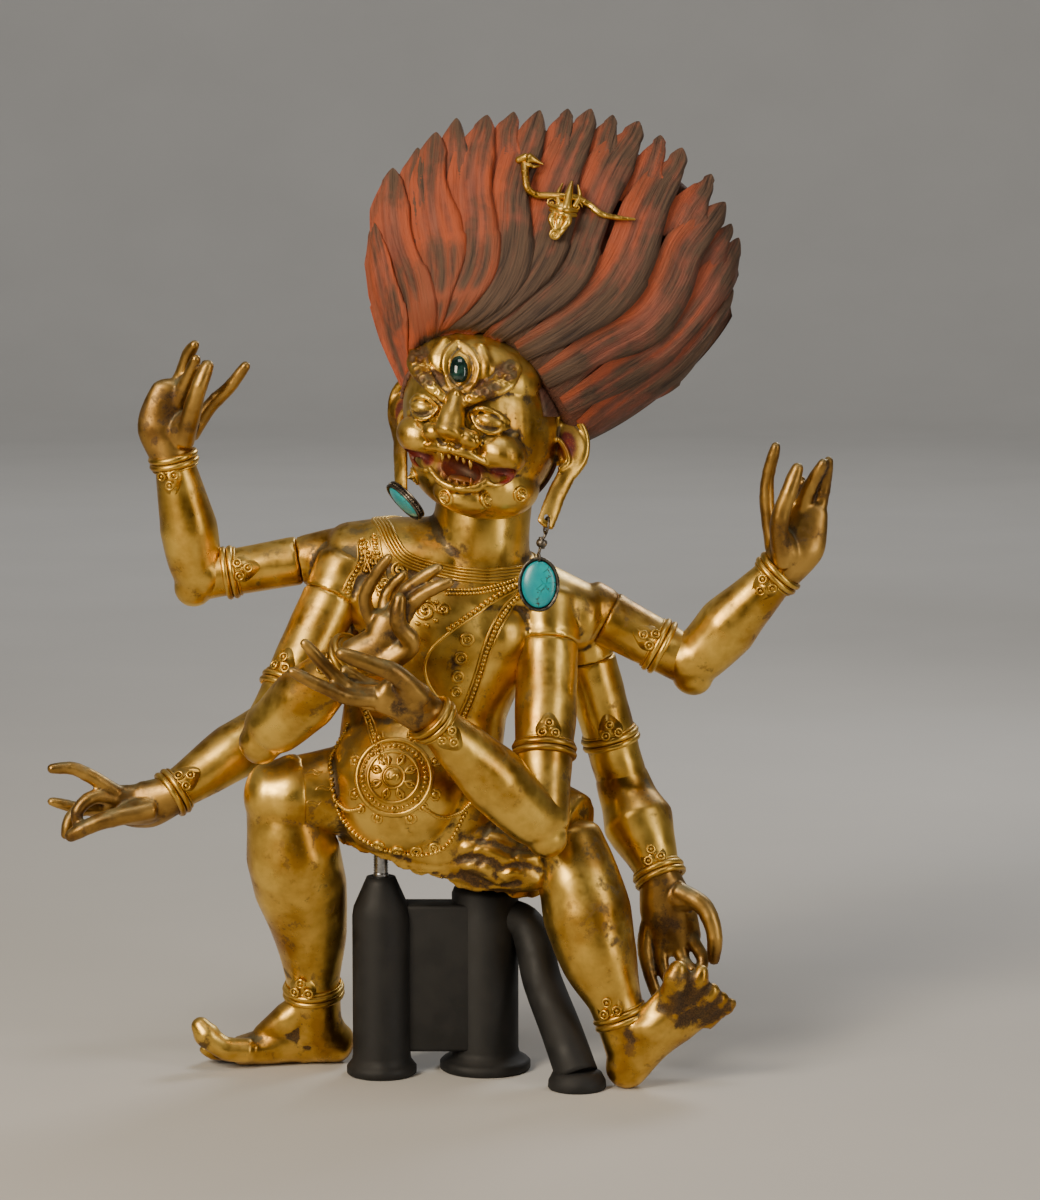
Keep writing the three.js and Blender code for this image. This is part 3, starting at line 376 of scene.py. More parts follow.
HANDS = {
    "raised_right": dict(wide=(1, 0.2, 0.1), palm=((0, 0, -6), (-4, 0, 20), (1, -2, 40)),
                         size=((12.5, 11.5), (19, 11), (15, 7)),
                         thumb=((8, -6, 8), (15, -17, 31), (20, -21, 46), (25, -20, 58)),
                         index=((12, 2, 12), (24, 2, 30), (38, -2, 44), (48, -6, 57)),
                         middle=((0, 0, 38), (7, 0, 52), (11, -4, 64), (16, -10, 71)),
                         ring=((4, -4, 34), (12, -10, 50), (17, -16, 62)),
                         little=((8, 2, 32), (17, 2, 46), (22, 0, 58))),
    "main_right": dict(wide=(0.6, 0, -0.75), palm=((-4, 2, -5), (16, -4, 5), (23, -6, 20)),
                       size=((12.5, 11), (14.5, 9.5), (12, 7)),
                       thumb=((20, -8, -6), (36, -14, 8), (28, -20, 22), (29, -22, 37)),
                       index=((22, -4, 20), (32, -10, 40), (42, -14, 49), (53, -16, 56)),
                       middle=((27, -8, 16), (38, -16, 35), (49, -20, 43), (60, -22, 48)),
                       ring=((18, 0, 20), (21, 2, 38), (31, -2, 50)),
                       little=((12, -2, 18), (7, -4, 36), (14, -8, 51), (22, -12, 62))),
    "low_right": dict(wide=(0.1, -0.3, 1), palm=((6, 0, 2), (-18, 3, -7), (-38, -2, -4)),
                      size=((13, 12), (17, 11), (12, 8)),
                      thumb=((-10, -8, -8), (-36, -18, -12), (-51, -21, -17), (-62, -20, -23)),
                      index=((-34, -5, 3), (-51, -10, 15), (-61, -12, 20), (-74, -18, 21)),
                      middle=((-34, -5, -2), (-48, -12, 1), (-58, -17, -7), (-58, -17, -17)),
                      ring=((-34, 0, -10), (-55, -4, -8), (-64, -8, -14), (-67, -10, -24)),
                      little=((-36, 4, -12), (-60, 4, -9), (-77, 0, -4))),
    "raised_left": dict(wide=(1, -0.1, -0.2), palm=((-2, 1, -5), (10, 0, 18), (14, -1, 38)),
                        size=((13, 12), (19, 11), (16, 7)),
                        thumb=((0, -8, 4), (-3, -16, 32), (2, -19, 50), (8, -19, 67)),
                        index=((-6, 2, 14), (-10, 2, 48), (-9, 0, 63), (-5, -4, 80)),
                        middle=((12, -2, 34), (16, -6, 52), (25, -13, 70)),
                        ring=((22, 0, 30), (27, -2, 56), (29, -8, 71)),
                        little=((6, 3, 34), (9, 4, 48), (12, 0, 58))),
    "main_left": dict(wide=(0.5, 0, 0.85), palm=((5, 3, -5), (-12, -5, 9), (-27, -9, 15)),
                      size=((12.5, 11), (14.5, 9.5), (12, 7)),
                      thumb=((-4, -10, 12), (-20, -21, 30), (-34, -24, 36), (-53, -26, 43)),
                      index=((-20, -5, 12), (-48, -16, 14), (-64, -20, 21), (-84, -20, 31)),
                      middle=((-20, -3, 15), (-48, -12, 19), (-62, -14, 32), (-76, -16, 48)),
                      ring=((-18, 0, 14), (-38, -1, 20), (-52, -6, 30)),
                      little=((-18, 0, 8), (-38, 0, 8), (-52, -2, 14))),
    "low_left": dict(wide=(1, 0.1, 0), palm=((-2, 1, 5), (4, -1, -18), (10, -2, -40)),
                     size=((13, 12), (19, 10.5), (17, 7)),
                     thumb=((10, -7, -6), (27, -14, -15), (34, -18, -32), (34, -18, -49)),
                     index=((-6, -1, -20), (-11, -4, -41), (-9, -6, -57), (-3, -9, -77)),
                     middle=((0, -3, -36), (0, -5, -52), (3, -11, -64)),
                     ring=((11, -2, -38), (15, -7, -54), (20, -15, -57)),
                     little=((19, -3, -38), (27, -7, -51), (26, -13, -60))),
}


def mixed(a, b, t):
    return np.asarray(a, float) * (1 - t) + np.asarray(b, float) * t


def finish(piece, slot, nodes, smooth=True):
    """Scale to metres and join the piece to the solids it stands for."""
    mesh = piece.data
    mesh.transform(Matrix.Scale(METRE, 4))
    mesh.polygons.foreach_set("use_smooth", [smooth] * len(mesh.polygons))
    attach(piece, "root")
    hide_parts(*nodes)
    return piece


def join(name, pieces):
    """Several pieces of one part as one mesh."""
    bm = bmesh.new()
    for piece in pieces:
        bm.from_mesh(piece.data)
        mesh = piece.data
        bpy.data.objects.remove(piece)
        bpy.data.meshes.remove(mesh)
    return raw_piece(name, bm, close=False)


# Rings and plaques of the limbs.
def beaded_ring(bm, matrix, radius):
    """A small ring with a bead in it."""
    hoop(bm, matrix, radius, radius * 0.3, around=16, section=6)
    bmesh.ops.create_icosphere(bm, subdivisions=2, radius=radius * 0.48,
                               matrix=matrix @ Matrix.Diagonal((1, 1, 0.8, 1)))


def shield(bm, matrix, radius, width, height):
    """A leaf-shaped plaque bent round a limb, with three rosettes and a raised border."""
    disc = bmesh.ops.create_circle(bm, cap_ends=True, segments=32, radius=1)["verts"]
    face = disc[0].link_faces[0]
    faces = [face]
    for step in (0.06, 0.12, 0.06, 0.3):
        faces += bmesh.ops.inset_region(bm, faces=[face], thickness=step)["faces"]
    copy = bmesh.ops.extrude_face_region(bm, geom=faces, use_keep_orig=True)["geom"]
    back = {v for v in copy if isinstance(v, bmesh.types.BMVert)}
    every = {v for f in faces for v in f.verts} | back
    for v in every:
        x, y, _ = v.co
        share = min(math.hypot(x, y), 1)
        peak = 1 + 0.3 * max(math.sin(math.atan2(y, x)), 0) ** 5
        lift = -1 if v in back else 0.8 if share > 0.97 else 3.1 if share > 0.8 else 1.6
        px = x * peak * width / 2 * (1 - 0.2 * max(y, 0))
        turn = px / radius
        v.co = ((radius + lift) * math.sin(turn), y * peak * height / 2,
                (radius + lift) * math.cos(turn) - radius)
    bmesh.ops.transform(bm, matrix=matrix, verts=list(every))
    for px, py in ((-0.23, -0.16), (0.23, -0.16), (0, 0.22)):
        turn = px * width / radius
        out = radius + 2.2
        spot = Matrix.Translation((out * math.sin(turn), py * height, out * math.cos(turn) - radius))
        beaded_ring(bm, matrix @ spot @ Matrix.Rotation(turn, 4, "Y"), width * 0.15)


def band(bm, centre, way, radius, front, plaque=17.0):
    """Two rings side by side round a limb, with a plaque that stands up from them along the way."""
    way = unit(way)
    front = unit(np.asarray(front, float) - way * np.dot(front, way))
    m = frame_at(centre, way, front)
    for shift in (-2.2, 2.2):
        hoop(bm, m @ Matrix.Translation((0, 0, shift)), radius, 2.1, around=44, section=8, tall=1.05)
    hoop(bm, m @ Matrix.Translation((0, 0, 5.2)), radius - 0.1, 0.9, around=44, section=6)
    spot = np.asarray(centre, float) + front * radius + way * (2.5 + plaque * 0.42)
    shield(bm, frame_at(spot, front, way), radius, plaque, plaque)


# Arms.
def upper_arm(name, arm):
    s, e = np.array(arm["shoulder"], float), np.array(arm["elbow"], float)
    along = e - s
    length = np.linalg.norm(along)
    top, middle, end = arm["upper"]
    bm = bmesh.new()
    first = s + along * arm["seam"]
    rest = 1 - arm["seam"]
    route = [first, mixed(first, e, 0.5), e]
    at = lambda share: max((share - arm["seam"]) / rest, 0)
    rows = [(0, np.interp(arm["seam"], (0, 0.4, 1), (top, middle, end)) + 0.2), (at(0.55), middle + 0.4),
            (at(0.8), end + 0.2), (1, end)]
    limb(bm, route, rows, wide=(0, 1, 0.3), dome=(0.02, 0.5))
    piece = skin(name, bm, ARM_STEP, 4)
    surface = Surface(piece)
    hammer(surface, 26, 0.3, seed=len(name))
    surface.write()
    extra = bmesh.new()
    centre = s + along * arm["armlet"]
    radius = np.interp(arm["armlet"], (0, 0.4, 1), (top, middle, end)) + 0.5
    band(extra, centre, -along / length, radius, arm["front"])
    return join(name, [piece, raw_piece("rings", extra)])


def forearm(name, arm):
    e, w = np.array(arm["elbow"], float), np.array(arm["wrist"], float)
    back = unit(np.array(arm["shoulder"], float) - e)
    along = unit(w - e)
    elbow, middle, wrist = arm["fore"]
    bm = bmesh.new()
    point = -unit(back + along)
    route = [e + back * 5, e + along * 6, mixed(e, w, 0.5), w]
    rows = [(0, elbow * 0.93), (0.2, elbow), (0.42, middle), (0.68, mixed(middle, wrist, 0.55)),
            (0.88, wrist), (1, wrist + 0.3)]
    limb(bm, route, rows, wide=(0, 1, 0.3), dome=(0.75, 0.02))
    lump(bm, e + point * elbow * 0.42, (elbow * 0.72,) * 3)
    piece = skin(name, bm, ARM_STEP, 7)
    surface = Surface(piece)
    hammer(surface, 26, 0.3, seed=len(name) + 3)
    surface.write()
    extra = bmesh.new()
    centre = w - along * 3.5
    band(extra, centre, -along, wrist + 0.9, arm["front"])
    return join(name, [piece, raw_piece("rings", extra)])


def finger(bm, wrist, points, thick):
    route = [np.add(wrist, p) for p in points]
    rows = [(0, thick * 1.05), (0.28, thick), (0.5, thick * 0.96), (0.72, thick * 0.84), (0.9, thick * 0.8),
            (1, thick * 0.66)]
    limb(bm, route, rows, wide=(0.3, 1, 0.2), dome=(0.3, 1.05), around=16, step=2.2)
    return route


def hand(name, pose, wrist):
    bm = bmesh.new()
    palm = [np.add(wrist, p) for p in pose["palm"]]
    rows = [(i / 2, width, depth) for i, (width, depth) in enumerate(pose["size"])]
    limb(bm, palm, rows, wide=pose["wide"], dome=(0.1, 0.6), around=24)
    routes = {"thumb": finger(bm, wrist, pose["thumb"], 6.4)}
    root, knuckle = np.add(wrist, pose["thumb"][0]), np.add(wrist, pose["thumb"][1])
    heel = mixed(palm[0], root, 0.45) + (0, 4, 0)
    limb(bm, [heel, mixed(root, palm[1], 0.3) + (0, 3, 0), mixed(root, knuckle, 0.7) + (0, 1.5, 0)],
         [(0, 9), (0.5, 10.5), (1, 6.4)], dome=(1, 1), around=20, step=2.2)
    for key in ("index", "middle", "ring", "little"):
        routes[key] = finger(bm, wrist, pose[key], 5.1 if key != "little" else 4.6)
    piece = skin(name, bm, HAND_STEP, 5)
    surface = Surface(piece)
    hammer(surface, 14, 0.16, seed=len(name))
    for key, route in routes.items():
        line = smooth_route(route, 20)[0]
        for share in (0.5, 0.75):
            spot = line[int(share * 20)]
            ring_around(surface, spot, unit(line[int(share * 20) + 1] - spot), 8.5, 1.6, 0.16)
    surface.write()
    return piece


def ring_around(surface, centre, way, reach, width, height):
    """A ridge or groove all the way round a limb at one place."""
    apart = surface.co - centre
    along = apart @ way
    near = np.flatnonzero((np.abs(along) < width * 3) & (np.linalg.norm(apart, axis=1) < reach * 1.5))
    surface.co[near] += surface.way[near] * (height * np.exp(-(along[near] / width) ** 2))[:, None]


# Ornaments laid on a surface.
def lay(surface, bm, matrix, drop=60):
    """Press a flat ornament down on the surface; heights above its plane are kept."""
    z = matrix.to_3x3() @ Vector((0, 0, 1))
    for v in bm.verts:
        height = v.co.z
        start = matrix @ Vector((v.co.x, v.co.y, 0)) + z * drop
        spot, normal = surface.near(start, -z)
        v.co = spot + normal * height
    return bm


def on_skin(surface, points, count, lift=0.0):
    """The smooth line through the points, moved on to the surface."""
    line = smooth_route(points, count)[0]
    spots = [surface.near(p) for p in line]
    places = np.array([spot + normal * lift for spot, normal in spots])
    return places, np.array([normal for _, normal in spots])


def cord(bm, surface, points, radius, lift=0.0, count=30, around=10, flat=1.0):
    line, ways = on_skin(surface, points, count, lift)
    limb(bm, line, [(0, radius * flat, radius), (1, radius * flat, radius)],
         wide=np.cross(ways[count // 2], unit(line[-1] - line[0])),
         around=around, step=1.6, dome=(0.6, 0.6))


def bead_row(bm, surface, points, radius, pitch=2.1, lift=0.4):
    length = smooth_route(points, 8)[2]
    line, _ = on_skin(surface, points, max(int(length / radius / pitch), 2), lift * radius)
    for spot in line:
        bead(bm, spot, radius)


# Torso.
BELLY = np.array((-42.0, -14.0, 196.0))
BELLY_HALF = (48, 48, 50)
WHEEL_WAY = unit((-0.08, -0.97, 0.23))
THIGHS = {
    "right": dict(route=[(-40, 2, 190), (-80, -10, 189), (-113, -18, 187)],
                  rows=[(0, 34), (0.5, 29.5), (1, 26.5)]),
    "left": dict(route=[(16, 10, 168), (46, -4, 167), (73, -16, 162)],
                 rows=[(0, 36), (0.6, 30.5), (1, 25.5)]),
}
COLLAR = [(6, 40, 356), (-34, 34, 364), (-57, 10, 370), (-51, -8, 357), (-42, -18, 345), (-28, -25, 338),
          (-8, -29, 334), (16, -28, 332), (38, -20, 334), (50, 4, 341), (38, 32, 347), (6, 40, 356)]
# Lines of the chest ornament as they are seen from the front, (x, z).
BODICE_EDGES = [
    [(-69, 369), (-67, 355), (-67, 342), (-75, 326), (-80, 312), (-83, 295), (-84, 283)],
    [(-61, 370), (-59, 357), (-58, 347), (-64, 334)],
]
BODICE_CORDS = [[(-13, 323), (11, 324), (36, 330)], [(-12, 320.5), (11, 321.5), (36, 327)]]
GARLAND = [(36, 324), (21, 317), (6, 307), (-11, 296), (-23, 284), (-26, 273), (-21, 259), (-8, 246)]
SIDE_BAND = [(35, 319), (23, 305), (14, 286), (9, 270), (3, 253), (-3, 239)]
RING_BOSSES = [(1, 292, 4.8), (-3, 280, 4.5), (-5, 268, 4.3), (-6, 258, 3.8), (-80, 306, 3.2),
               (-82, 296, 3.4)]
COILS = [(-43, 335, 5.6), (-53, 326, 5.6), (-26, 310, 7.5), (-38, 319, 4), (-47, 314, 4), (-14, 311, 4.5)]
BELLY_BEADS = [(-81, 235), (-86, 213), (-85, 193), (-78, 174), (-66, 163), (-51, 156), (-31, 152),
               (-14, 157), (0, 180)]
BELLY_BOSSES = [(-56, 160), (-44, 156), (-32, 155), (-20, 157)]
# Folds of the cloth over the left thigh, the ridges between them, and marks on the right thigh.
FOLDS = [
    [(4, 163), (18, 160), (32, 155), (47, 157)],
    [(-2, 150), (12, 151), (24, 144), (33, 147), (49, 142)],
    [(-10, 138), (8, 137), (20, 131), (34, 134), (48, 128)],
    [(36, 160), (31, 152), (35, 143)],
    [(18, 141), (24, 133), (20, 124)],
]
FOLD_RIDGES = [
    [(0, 157), (16, 155), (28, 150), (46, 150)],
    [(-6, 144), (10, 144), (22, 138), (32, 141), (47, 135)],
    [(-4, 132), (14, 129), (36, 120)],
]
THIGH_MARKS = ((-97.5, 205), (-91, 195.5), (-98, 186))
SWAGS = [[(-85, 190), (-76, 183), (-67, 185)], [(-27, 187), (-16, 179), (-4, 180), (3, 186)]]


def torso_forms(bm):
    limb(bm, [(-14, 8, 92), (-18, 5, 148), (-32, -2, 205)], [(0, 66, 40), (0.5, 70, 44), (1, 54, 46)],
         dome=(0, 0.3), around=56)
    limb(bm, [(-32, 0, 190), (-27, 0, 240), (-16, 3, 292), (-6, 8, 322)],
         [(0, 54, 46), (0.4, 53, 40), (0.78, 64, 42), (1, 54, 34)], dome=(0, 0.3), around=56)
    limb(bm, [(-76, 10, 340), (-40, 8, 342), (8, 8, 332), (44, 11, 314), (74, 14, 300)],
         [(0, 23, 26), (0.4, 26, 34), (1, 23, 25)], wide=(0, 0, 1), dome=(0.7, 0.7), around=40)
    limb(bm, [(5, 8, 322), (9, 3, 350), (12, 2, 380)], [(0, 46, 38), (0.42, 33, 32), (1, 31, 31)],
         dome=(0, 0), around=40)
    lump(bm, BELLY, BELLY_HALF, around=56, levels=36)
    lump(bm, (-50, -15, 312), (28, 20, 23))
    lump(bm, (12, -16, 292), (29, 18, 25))
    for thigh in THIGHS.values():
        limb(bm, thigh["route"], thigh["rows"], wide=(0, 1, 0), dome=(0, 0.02), around=40)
    for arm in ARMS.values():
        s, e = np.array(arm["shoulder"], float), np.array(arm["elbow"], float)
        top = arm["upper"][0]
        end = np.interp(arm["seam"], (0, 0.4, 1), arm["upper"])
        limb(bm, [s, mixed(s, e, arm["seam"] / 2), mixed(s, e, arm["seam"])], [(0, top), (1, end + 0.5)],
             wide=(0, 1, 0.3), dome=(0.3, 0.02), around=32)
    lump(bm, (20, -31, 148), (37, 13, 19), Matrix.Rotation(math.radians(22), 4, "Y"), around=40)
    lump(bm, (-22, 6, 352), (30, 24, 15), around=40)
    lump(bm, (-6, 17, 318), (62, 27, 34), around=48, levels=30)
    lump(bm, (30, 13, 170), (34, 30, 26), around=40)
    lump(bm, (-58, 8, 184), (34, 30, 26), around=40)


def rim_cutter(bm):
    """Everything below the torn edge of the pelvis."""
    grid = bmesh.ops.create_grid(bm, x_segments=130, y_segments=30, size=1)["verts"]
    faces = list({f for v in grid for f in v.link_faces})
    copy = bmesh.ops.extrude_face_region(bm, geom=faces, use_keep_orig=True)["geom"]
    low = {v for v in copy if isinstance(v, bmesh.types.BMVert)}
    for v in list(low | set(grid)):
        x, y = v.co.x * 130 - 12, v.co.y * 90
        tear = (1.3 * math.sin(x * 0.17 + y * 0.05) + 0.7 * math.sin(x * 0.51 + 1.3)
                + 0.35 * math.sin(x * 1.1 + y * 0.6))
        v.co = (x, y, 40 if v in low else np.interp(x, (-78, -45, -10, 51), (156, 145, 133, 117)) + tear)


def cut_by(piece, *tools):
    for tool in tools:
        boolean = piece.modifiers.new("cut", "BOOLEAN")
        boolean.operation = "DIFFERENCE"
        boolean.solver = "MANIFOLD"
        boolean.object = tool
    settle(piece)
    for tool in tools:
        mesh = tool.data
        bpy.data.objects.remove(tool)
        bpy.data.meshes.remove(mesh)
    return piece


def belly_wheel(bm):
    """The wheel in a flat plane: hub, eight petal spokes, rings and beads."""
    flat = Matrix.Identity(4)
    for radius, thick in ((24, 1.7), (16.4, 1.3), (7.3, 0.9)):
        hoop(bm, flat, radius, thick, around=72, section=8)
    for i in range(40):
        a = math.tau * i / 40
        bead(bm, (20.2 * math.cos(a), 20.2 * math.sin(a), 0.3), 1.9 if i % 5 == 0 else 1.2)
    for i in range(8):
        a = math.tau * (i + 0.5) / 8
        way = np.array((math.cos(a), math.sin(a), 0))
        aside = np.array((-way[1], way[0], 0))
        for j in (-1, 1):
            limb(bm, [way * 8.2, way * 11.5 + aside * 1.7 * j, way * 15.2 + aside * 0.6 * j],
                 [(0, 0.9, 1.2), (0.6, 1.6, 1.9), (1, 0.8, 1.0)], wide=aside, around=10, step=1.2)
            limb(bm, [way * 27 + aside * 2.6 * j, way * 29.6 + aside * 2.9 * j, way * 31 + aside * 0.8 * j],
                 [(0, 0.9), (0.5, 1.3), (1, 0.8)], around=10, step=1)
        bead(bm, way * 27.6, 1.9)
        bead(bm, way * 12.6 + (0, 0, 1.2), 0.8)
    lump(bm, (0, 0, 0), (6.0, 6.0, 2.0))
    hook = ((0, 0, 2.0), (1.8, 1.6, 1.9), (3.2, 0.4, 1.7), (2.2, -2.2, 1.6))
    for turn in (0, math.pi):
        points = [Matrix.Rotation(turn, 3, "Z") @ Vector(p) for p in hook]
        limb(bm, points, [(0, 0.7), (0.5, 1.3), (1, 0.5)], around=8, step=1)


def torso():
    bm = bmesh.new()
    torso_forms(bm)
    piece = skin("torso", bm, TORSO_STEP, 8)
    rim = bmesh.new()
    rim_cutter(rim)
    hollow = bmesh.new()
    limb(hollow, [(-14, 8, 92), (-18, 5, 148), (-28, 0, 182)], [(0, 63, 37), (0.6, 67, 41), (1, 56, 42)],
         dome=(0, 0), around=56)
    piece = cut_by(piece, raw_piece("rim", rim), raw_piece("hollow", hollow))
    surface = Surface(piece)
    hammer(surface, 34, 0.45, seed=2)
    for shift in (0, 4.5, 9):
        edge = [(-38, 148 - shift), (-14, 145 - shift), (6 + shift / 2, 157 - shift),
                (19 + shift / 2, 176 - shift)]
        surface.chase(from_front(surface, edge), 1.5, -1.3)
    for line in FOLDS:
        surface.chase(from_front(surface, line), 1.6, -1.5)
    for line in FOLD_RIDGES:
        surface.chase(from_front(surface, line), 2.4, 1.3)
    for arm in ARMS.values():
        s, e = np.array(arm["shoulder"], float), np.array(arm["elbow"], float)
        ring_around(surface, mixed(s, e, arm["seam"] - 0.03), unit(e - s), 15.5, 0.9, -0.45)
    surface.write()
    extra = bmesh.new()
    wheel = bmesh.new()
    belly_wheel(wheel)
    lay(surface, wheel, frame_at(BELLY, WHEEL_WAY))
    belly_ornament(extra, surface)
    for x, z in THIGH_MARKS:
        for hump, dip in ((2.1, 0.7), (0.2, -1.2)):
            stroke = [(x - 5.3, z - 0.5), (x - 2.8, z + hump), (x - 0.4, z + hump), (x + 2.5, z + dip),
                      (x + 5.3, z + 1.2)]
            cord(extra, surface, from_front(surface, stroke), 0.42, count=16, around=6)
    chest_ornament(extra, surface)
    piece = join("torso", [piece, raw_piece("wheel", wheel), raw_piece("ornaments", extra)])
    return piece


def from_front(surface, points):
    """The surface places that are seen at these (x, z) from the front."""
    return [surface.near((p[0], -200, p[1]), (0, 1, 0))[0] for p in points]


def boss(bm, spot, way, size):
    """A raised ring with a smaller ring sunk in it."""
    m = frame_at(spot + way * 0.5, way)
    hoop(bm, m, size * 0.76, size * 0.27, around=24, section=8)
    hoop(bm, m, size * 0.36, size * 0.15, around=16, section=6)


def coil(bm, spot, way, size, turns=1.7):
    """A little tendril wound up to a raised middle."""
    m = frame_at(spot + way * 0.4, way)
    points = []
    for k in range(22):
        a, r = math.tau * turns * k / 21, size * (1 - 0.85 * k / 21)
        points.append(m @ Vector((r * math.cos(a), r * math.sin(a), 1.4 * k / 21)))
    limb(bm, points, [(0, size * 0.1), (0.2, size * 0.17), (1, size * 0.2)], around=10, step=1.1)


def belly_ornament(bm, surface):
    """The beaded line round the belly, with bosses and swags on it."""
    def on_belly(x, z):
        wide, deep, tall = BELLY_HALF
        a, b = (x - BELLY[0]) / wide, (z - BELLY[2]) / tall
        if a * a + b * b < 0.8 or x > -60:
            return from_front(surface, [(x, z)])[0]
        return BELLY + (a * wide, -deep * math.sqrt(max(1 - a * a - b * b, 0.02)), b * tall)
    bead_row(bm, surface, [on_belly(x, z) for x, z in BELLY_BEADS], 1.5, pitch=2.0)
    for x, z in BELLY_BOSSES:
        boss(bm, *surface.near(on_belly(x, z)), 4.2)
    for line in SWAGS:
        bead_row(bm, surface, [on_belly(x, z) for x, z in line], 1.5, pitch=1.1, lift=0.6)
        boss(bm, *surface.near(on_belly(*(line[-1] if line is SWAGS[0] else line[0]))), 3.4)


def chest_ornament(bm, surface):
    """The ribbed collar, the beaded edges of the bodice, a garland, ring bosses and coiled tendrils."""
    line, ways = on_skin(surface, COLLAR, 90)
    along = np.gradient(line, axis=0)
    aside = unit_rows(np.cross(ways, along))
    for shift in (-4, -2, 0, 2, 4):
        spots = [surface.near(p + q * shift) for p, q in zip(line, aside)]
        limb(bm, [spot + way * 0.2 for spot, way in spots], [(0, 1.0), (1, 1.0)], wide=(0, 0, 1), around=8,
             step=2.2, dome=(0, 0))
    for edge in BODICE_EDGES:
        points = from_front(surface, edge)
        bead_row(bm, surface, points, 1.5)
        for width in (-2.6, 2.6):
            cord(bm, surface, [np.add(p, (width, 0, 0)) for p in points], 0.8, 0.3, around=8)
    for points in BODICE_CORDS:
        bead_row(bm, surface, from_front(surface, points), 1.25, pitch=1.7)
    garland = from_front(surface, GARLAND)
    cord(bm, surface, garland, 1.1, 0.2, count=50, around=8)
    bead_row(bm, surface, [np.add(p, (0.5, 0, 3)) for p in garland[:4]], 1.8, pitch=1.8)
    side = from_front(surface, SIDE_BAND)
    for width in (-2.8, 2.8):
        cord(bm, surface, [np.add(p, (width, 0, -0.3 * width)) for p in side], 0.8, 0.3, count=40, around=8)
    bead_row(bm, surface, side, 1.7, pitch=1.6)
    for x, z, size in RING_BOSSES:
        boss(bm, *surface.near((x, -200, z), (0, 1, 0)), size)
    for x, z, size in COILS:
        spot, way = surface.near((x, -200, z), (0, 1, 0))
        coil(bm, spot, way, size)
        if size > 7:
            m = frame_at(spot, way)
            for k in range(9):
                a = math.tau * k / 9
                bead(bm, m @ Vector((9.4 * math.cos(a), 9.4 * math.sin(a), 0.4)), 1.6)


# Legs and feet.
def leg_route_forms(bm, side):
    if side == "right":
        limb(bm, [(-108, -17, 187), (-116, -19, 187), (-127, -20, 187)], [(0, 27), (0.4, 27.5), (1, 23)],
             wide=(0, 1, 0), dome=(0.02, 0.75), around=40)
        limb(bm, [(-119, -18, 182), (-113, -15, 150), (-109, -6, 128), (-103, 8, 88), (-102, 18, 50),
                  (-101, 21, 20)],
             [(0, 24), (0.2, 31), (0.36, 30.5), (0.6, 23.5), (0.78, 18), (1, 18)], dome=(0.6, 0.3),
             around=40)
    else:
        limb(bm, [(66, -16, 158), (72, -22, 138), (78, -27, 114), (86, -32, 84), (97, -37, 55),
                  (105, -41, 26)],
             [(0, 23), (0.18, 27), (0.36, 29), (0.58, 25.5), (0.78, 17.5), (1, 15)], dome=(0.5, 0.3),
             around=40)


def toes(bm, routes, radii):
    for points, thick in zip(routes, radii):
        rows = [(0, thick * 1.05), (0.35, thick), (0.55, thick * 0.92), (0.8, thick * 1.12),
                (1, thick * 0.8)]
        limb(bm, points, rows, wide=(0, 1, 0.6), dome=(0.3, 0.8), around=16, step=2)


def leg(side):
    bm = bmesh.new()
    leg_route_forms(bm, side)
    if side == "right":
        limb(bm, [(-86, 24, 13), (-110, 23, 17), (-132, 21, 12), (-152, 20, 9)],
             [(0, 13.5, 13.5), (0.35, 16, 18), (0.7, 18, 12.5), (1, 19, 9)], wide=(0, 1, 0),
             dome=(0.8, 0.3), around=32)
        lump(bm, (-97, 21, 20), (17, 16, 19))
        limb(bm, [(-105, 13, 46), (-116, 15, 33), (-134, 17, 20)], [(0, 9), (0.5, 12), (1, 9)], around=20)
        lump(bm, (-92, 13, 30), (6, 4, 6))
        routes = [[(-144, 6, 12), (-160, 4, 14), (-171, 4, 22), (-177, 5, 30)]]
        routes += [[(-144, 14 + 6.5 * i, 9), (-162 + 2 * i, 16 + 7 * i, 7.5),
                    (-175 + 4 * i, 18 + 7 * i, 10)] for i in range(4)]
        radii = (8, 5.4, 5.2, 5, 4.8)
    else:
        limb(bm, [(104, -42, 12), (116, -43, 30), (130, -45, 44), (144, -46, 58)],
             [(0, 14, 13.5), (0.35, 17, 15), (0.7, 21, 12), (1, 23, 8)], wide=(0.75, 0.35, -0.5),
             dome=(0.9, 0.3), around=32)
        lump(bm, (106, -41, 22), (15, 15, 18))
        limb(bm, [(106, -45, 40), (116, -50, 40), (130, -52, 50)], [(0, 9), (0.5, 11), (1, 9)], around=20)
        routes = [[(131, -50, 50), (132, -54, 64), (135, -57, 74), (137, -57, 82)]]
        for i, tip in enumerate(((152, -55, 80), (160, -52, 67), (166, -48, 61), (172, -44, 56))):
            root = np.array((141 + 5 * i, -47 + 2.6 * i, 53 - 4 * i))
            routes.append([root, mixed(root, tip, 0.55) + (1.5, -2.5, 2), tip])
        radii = (8, 5.9, 5.7, 5.4, 5)
    toes(bm, routes, radii)
    piece = skin(side + "_lower_leg", bm, LEG_STEP, 6)
    surface = Surface(piece)
    hammer(surface, 30, 0.35, seed=len(side))
    for route, thick in zip(routes, radii):
        line = smooth_route(route, 20)[0]
        for share in (0.45, 0.66):
            k = int(share * 20)
            ring_around(surface, line[k], unit(line[k + 1] - line[k]), thick * 1.35, 0.7, -0.3)
    surface.write()
    surface.co[:, 2] = np.maximum(surface.co[:, 2], 0.0)
    surface.write()
    extra = bmesh.new()
    if side == "right":
        band(extra, (-102, 18, 50), (-0.02, -0.25, 1), 18.6, (-0.35, -1, 0), plaque=19)
    else:
        band(extra, (101, -38.6, 45), (-0.35, 0.12, 1), 16.8, (-0.35, -1, 0.1), plaque=18)
    return join(side + "_lower_leg", [piece, raw_piece("rings", extra)])


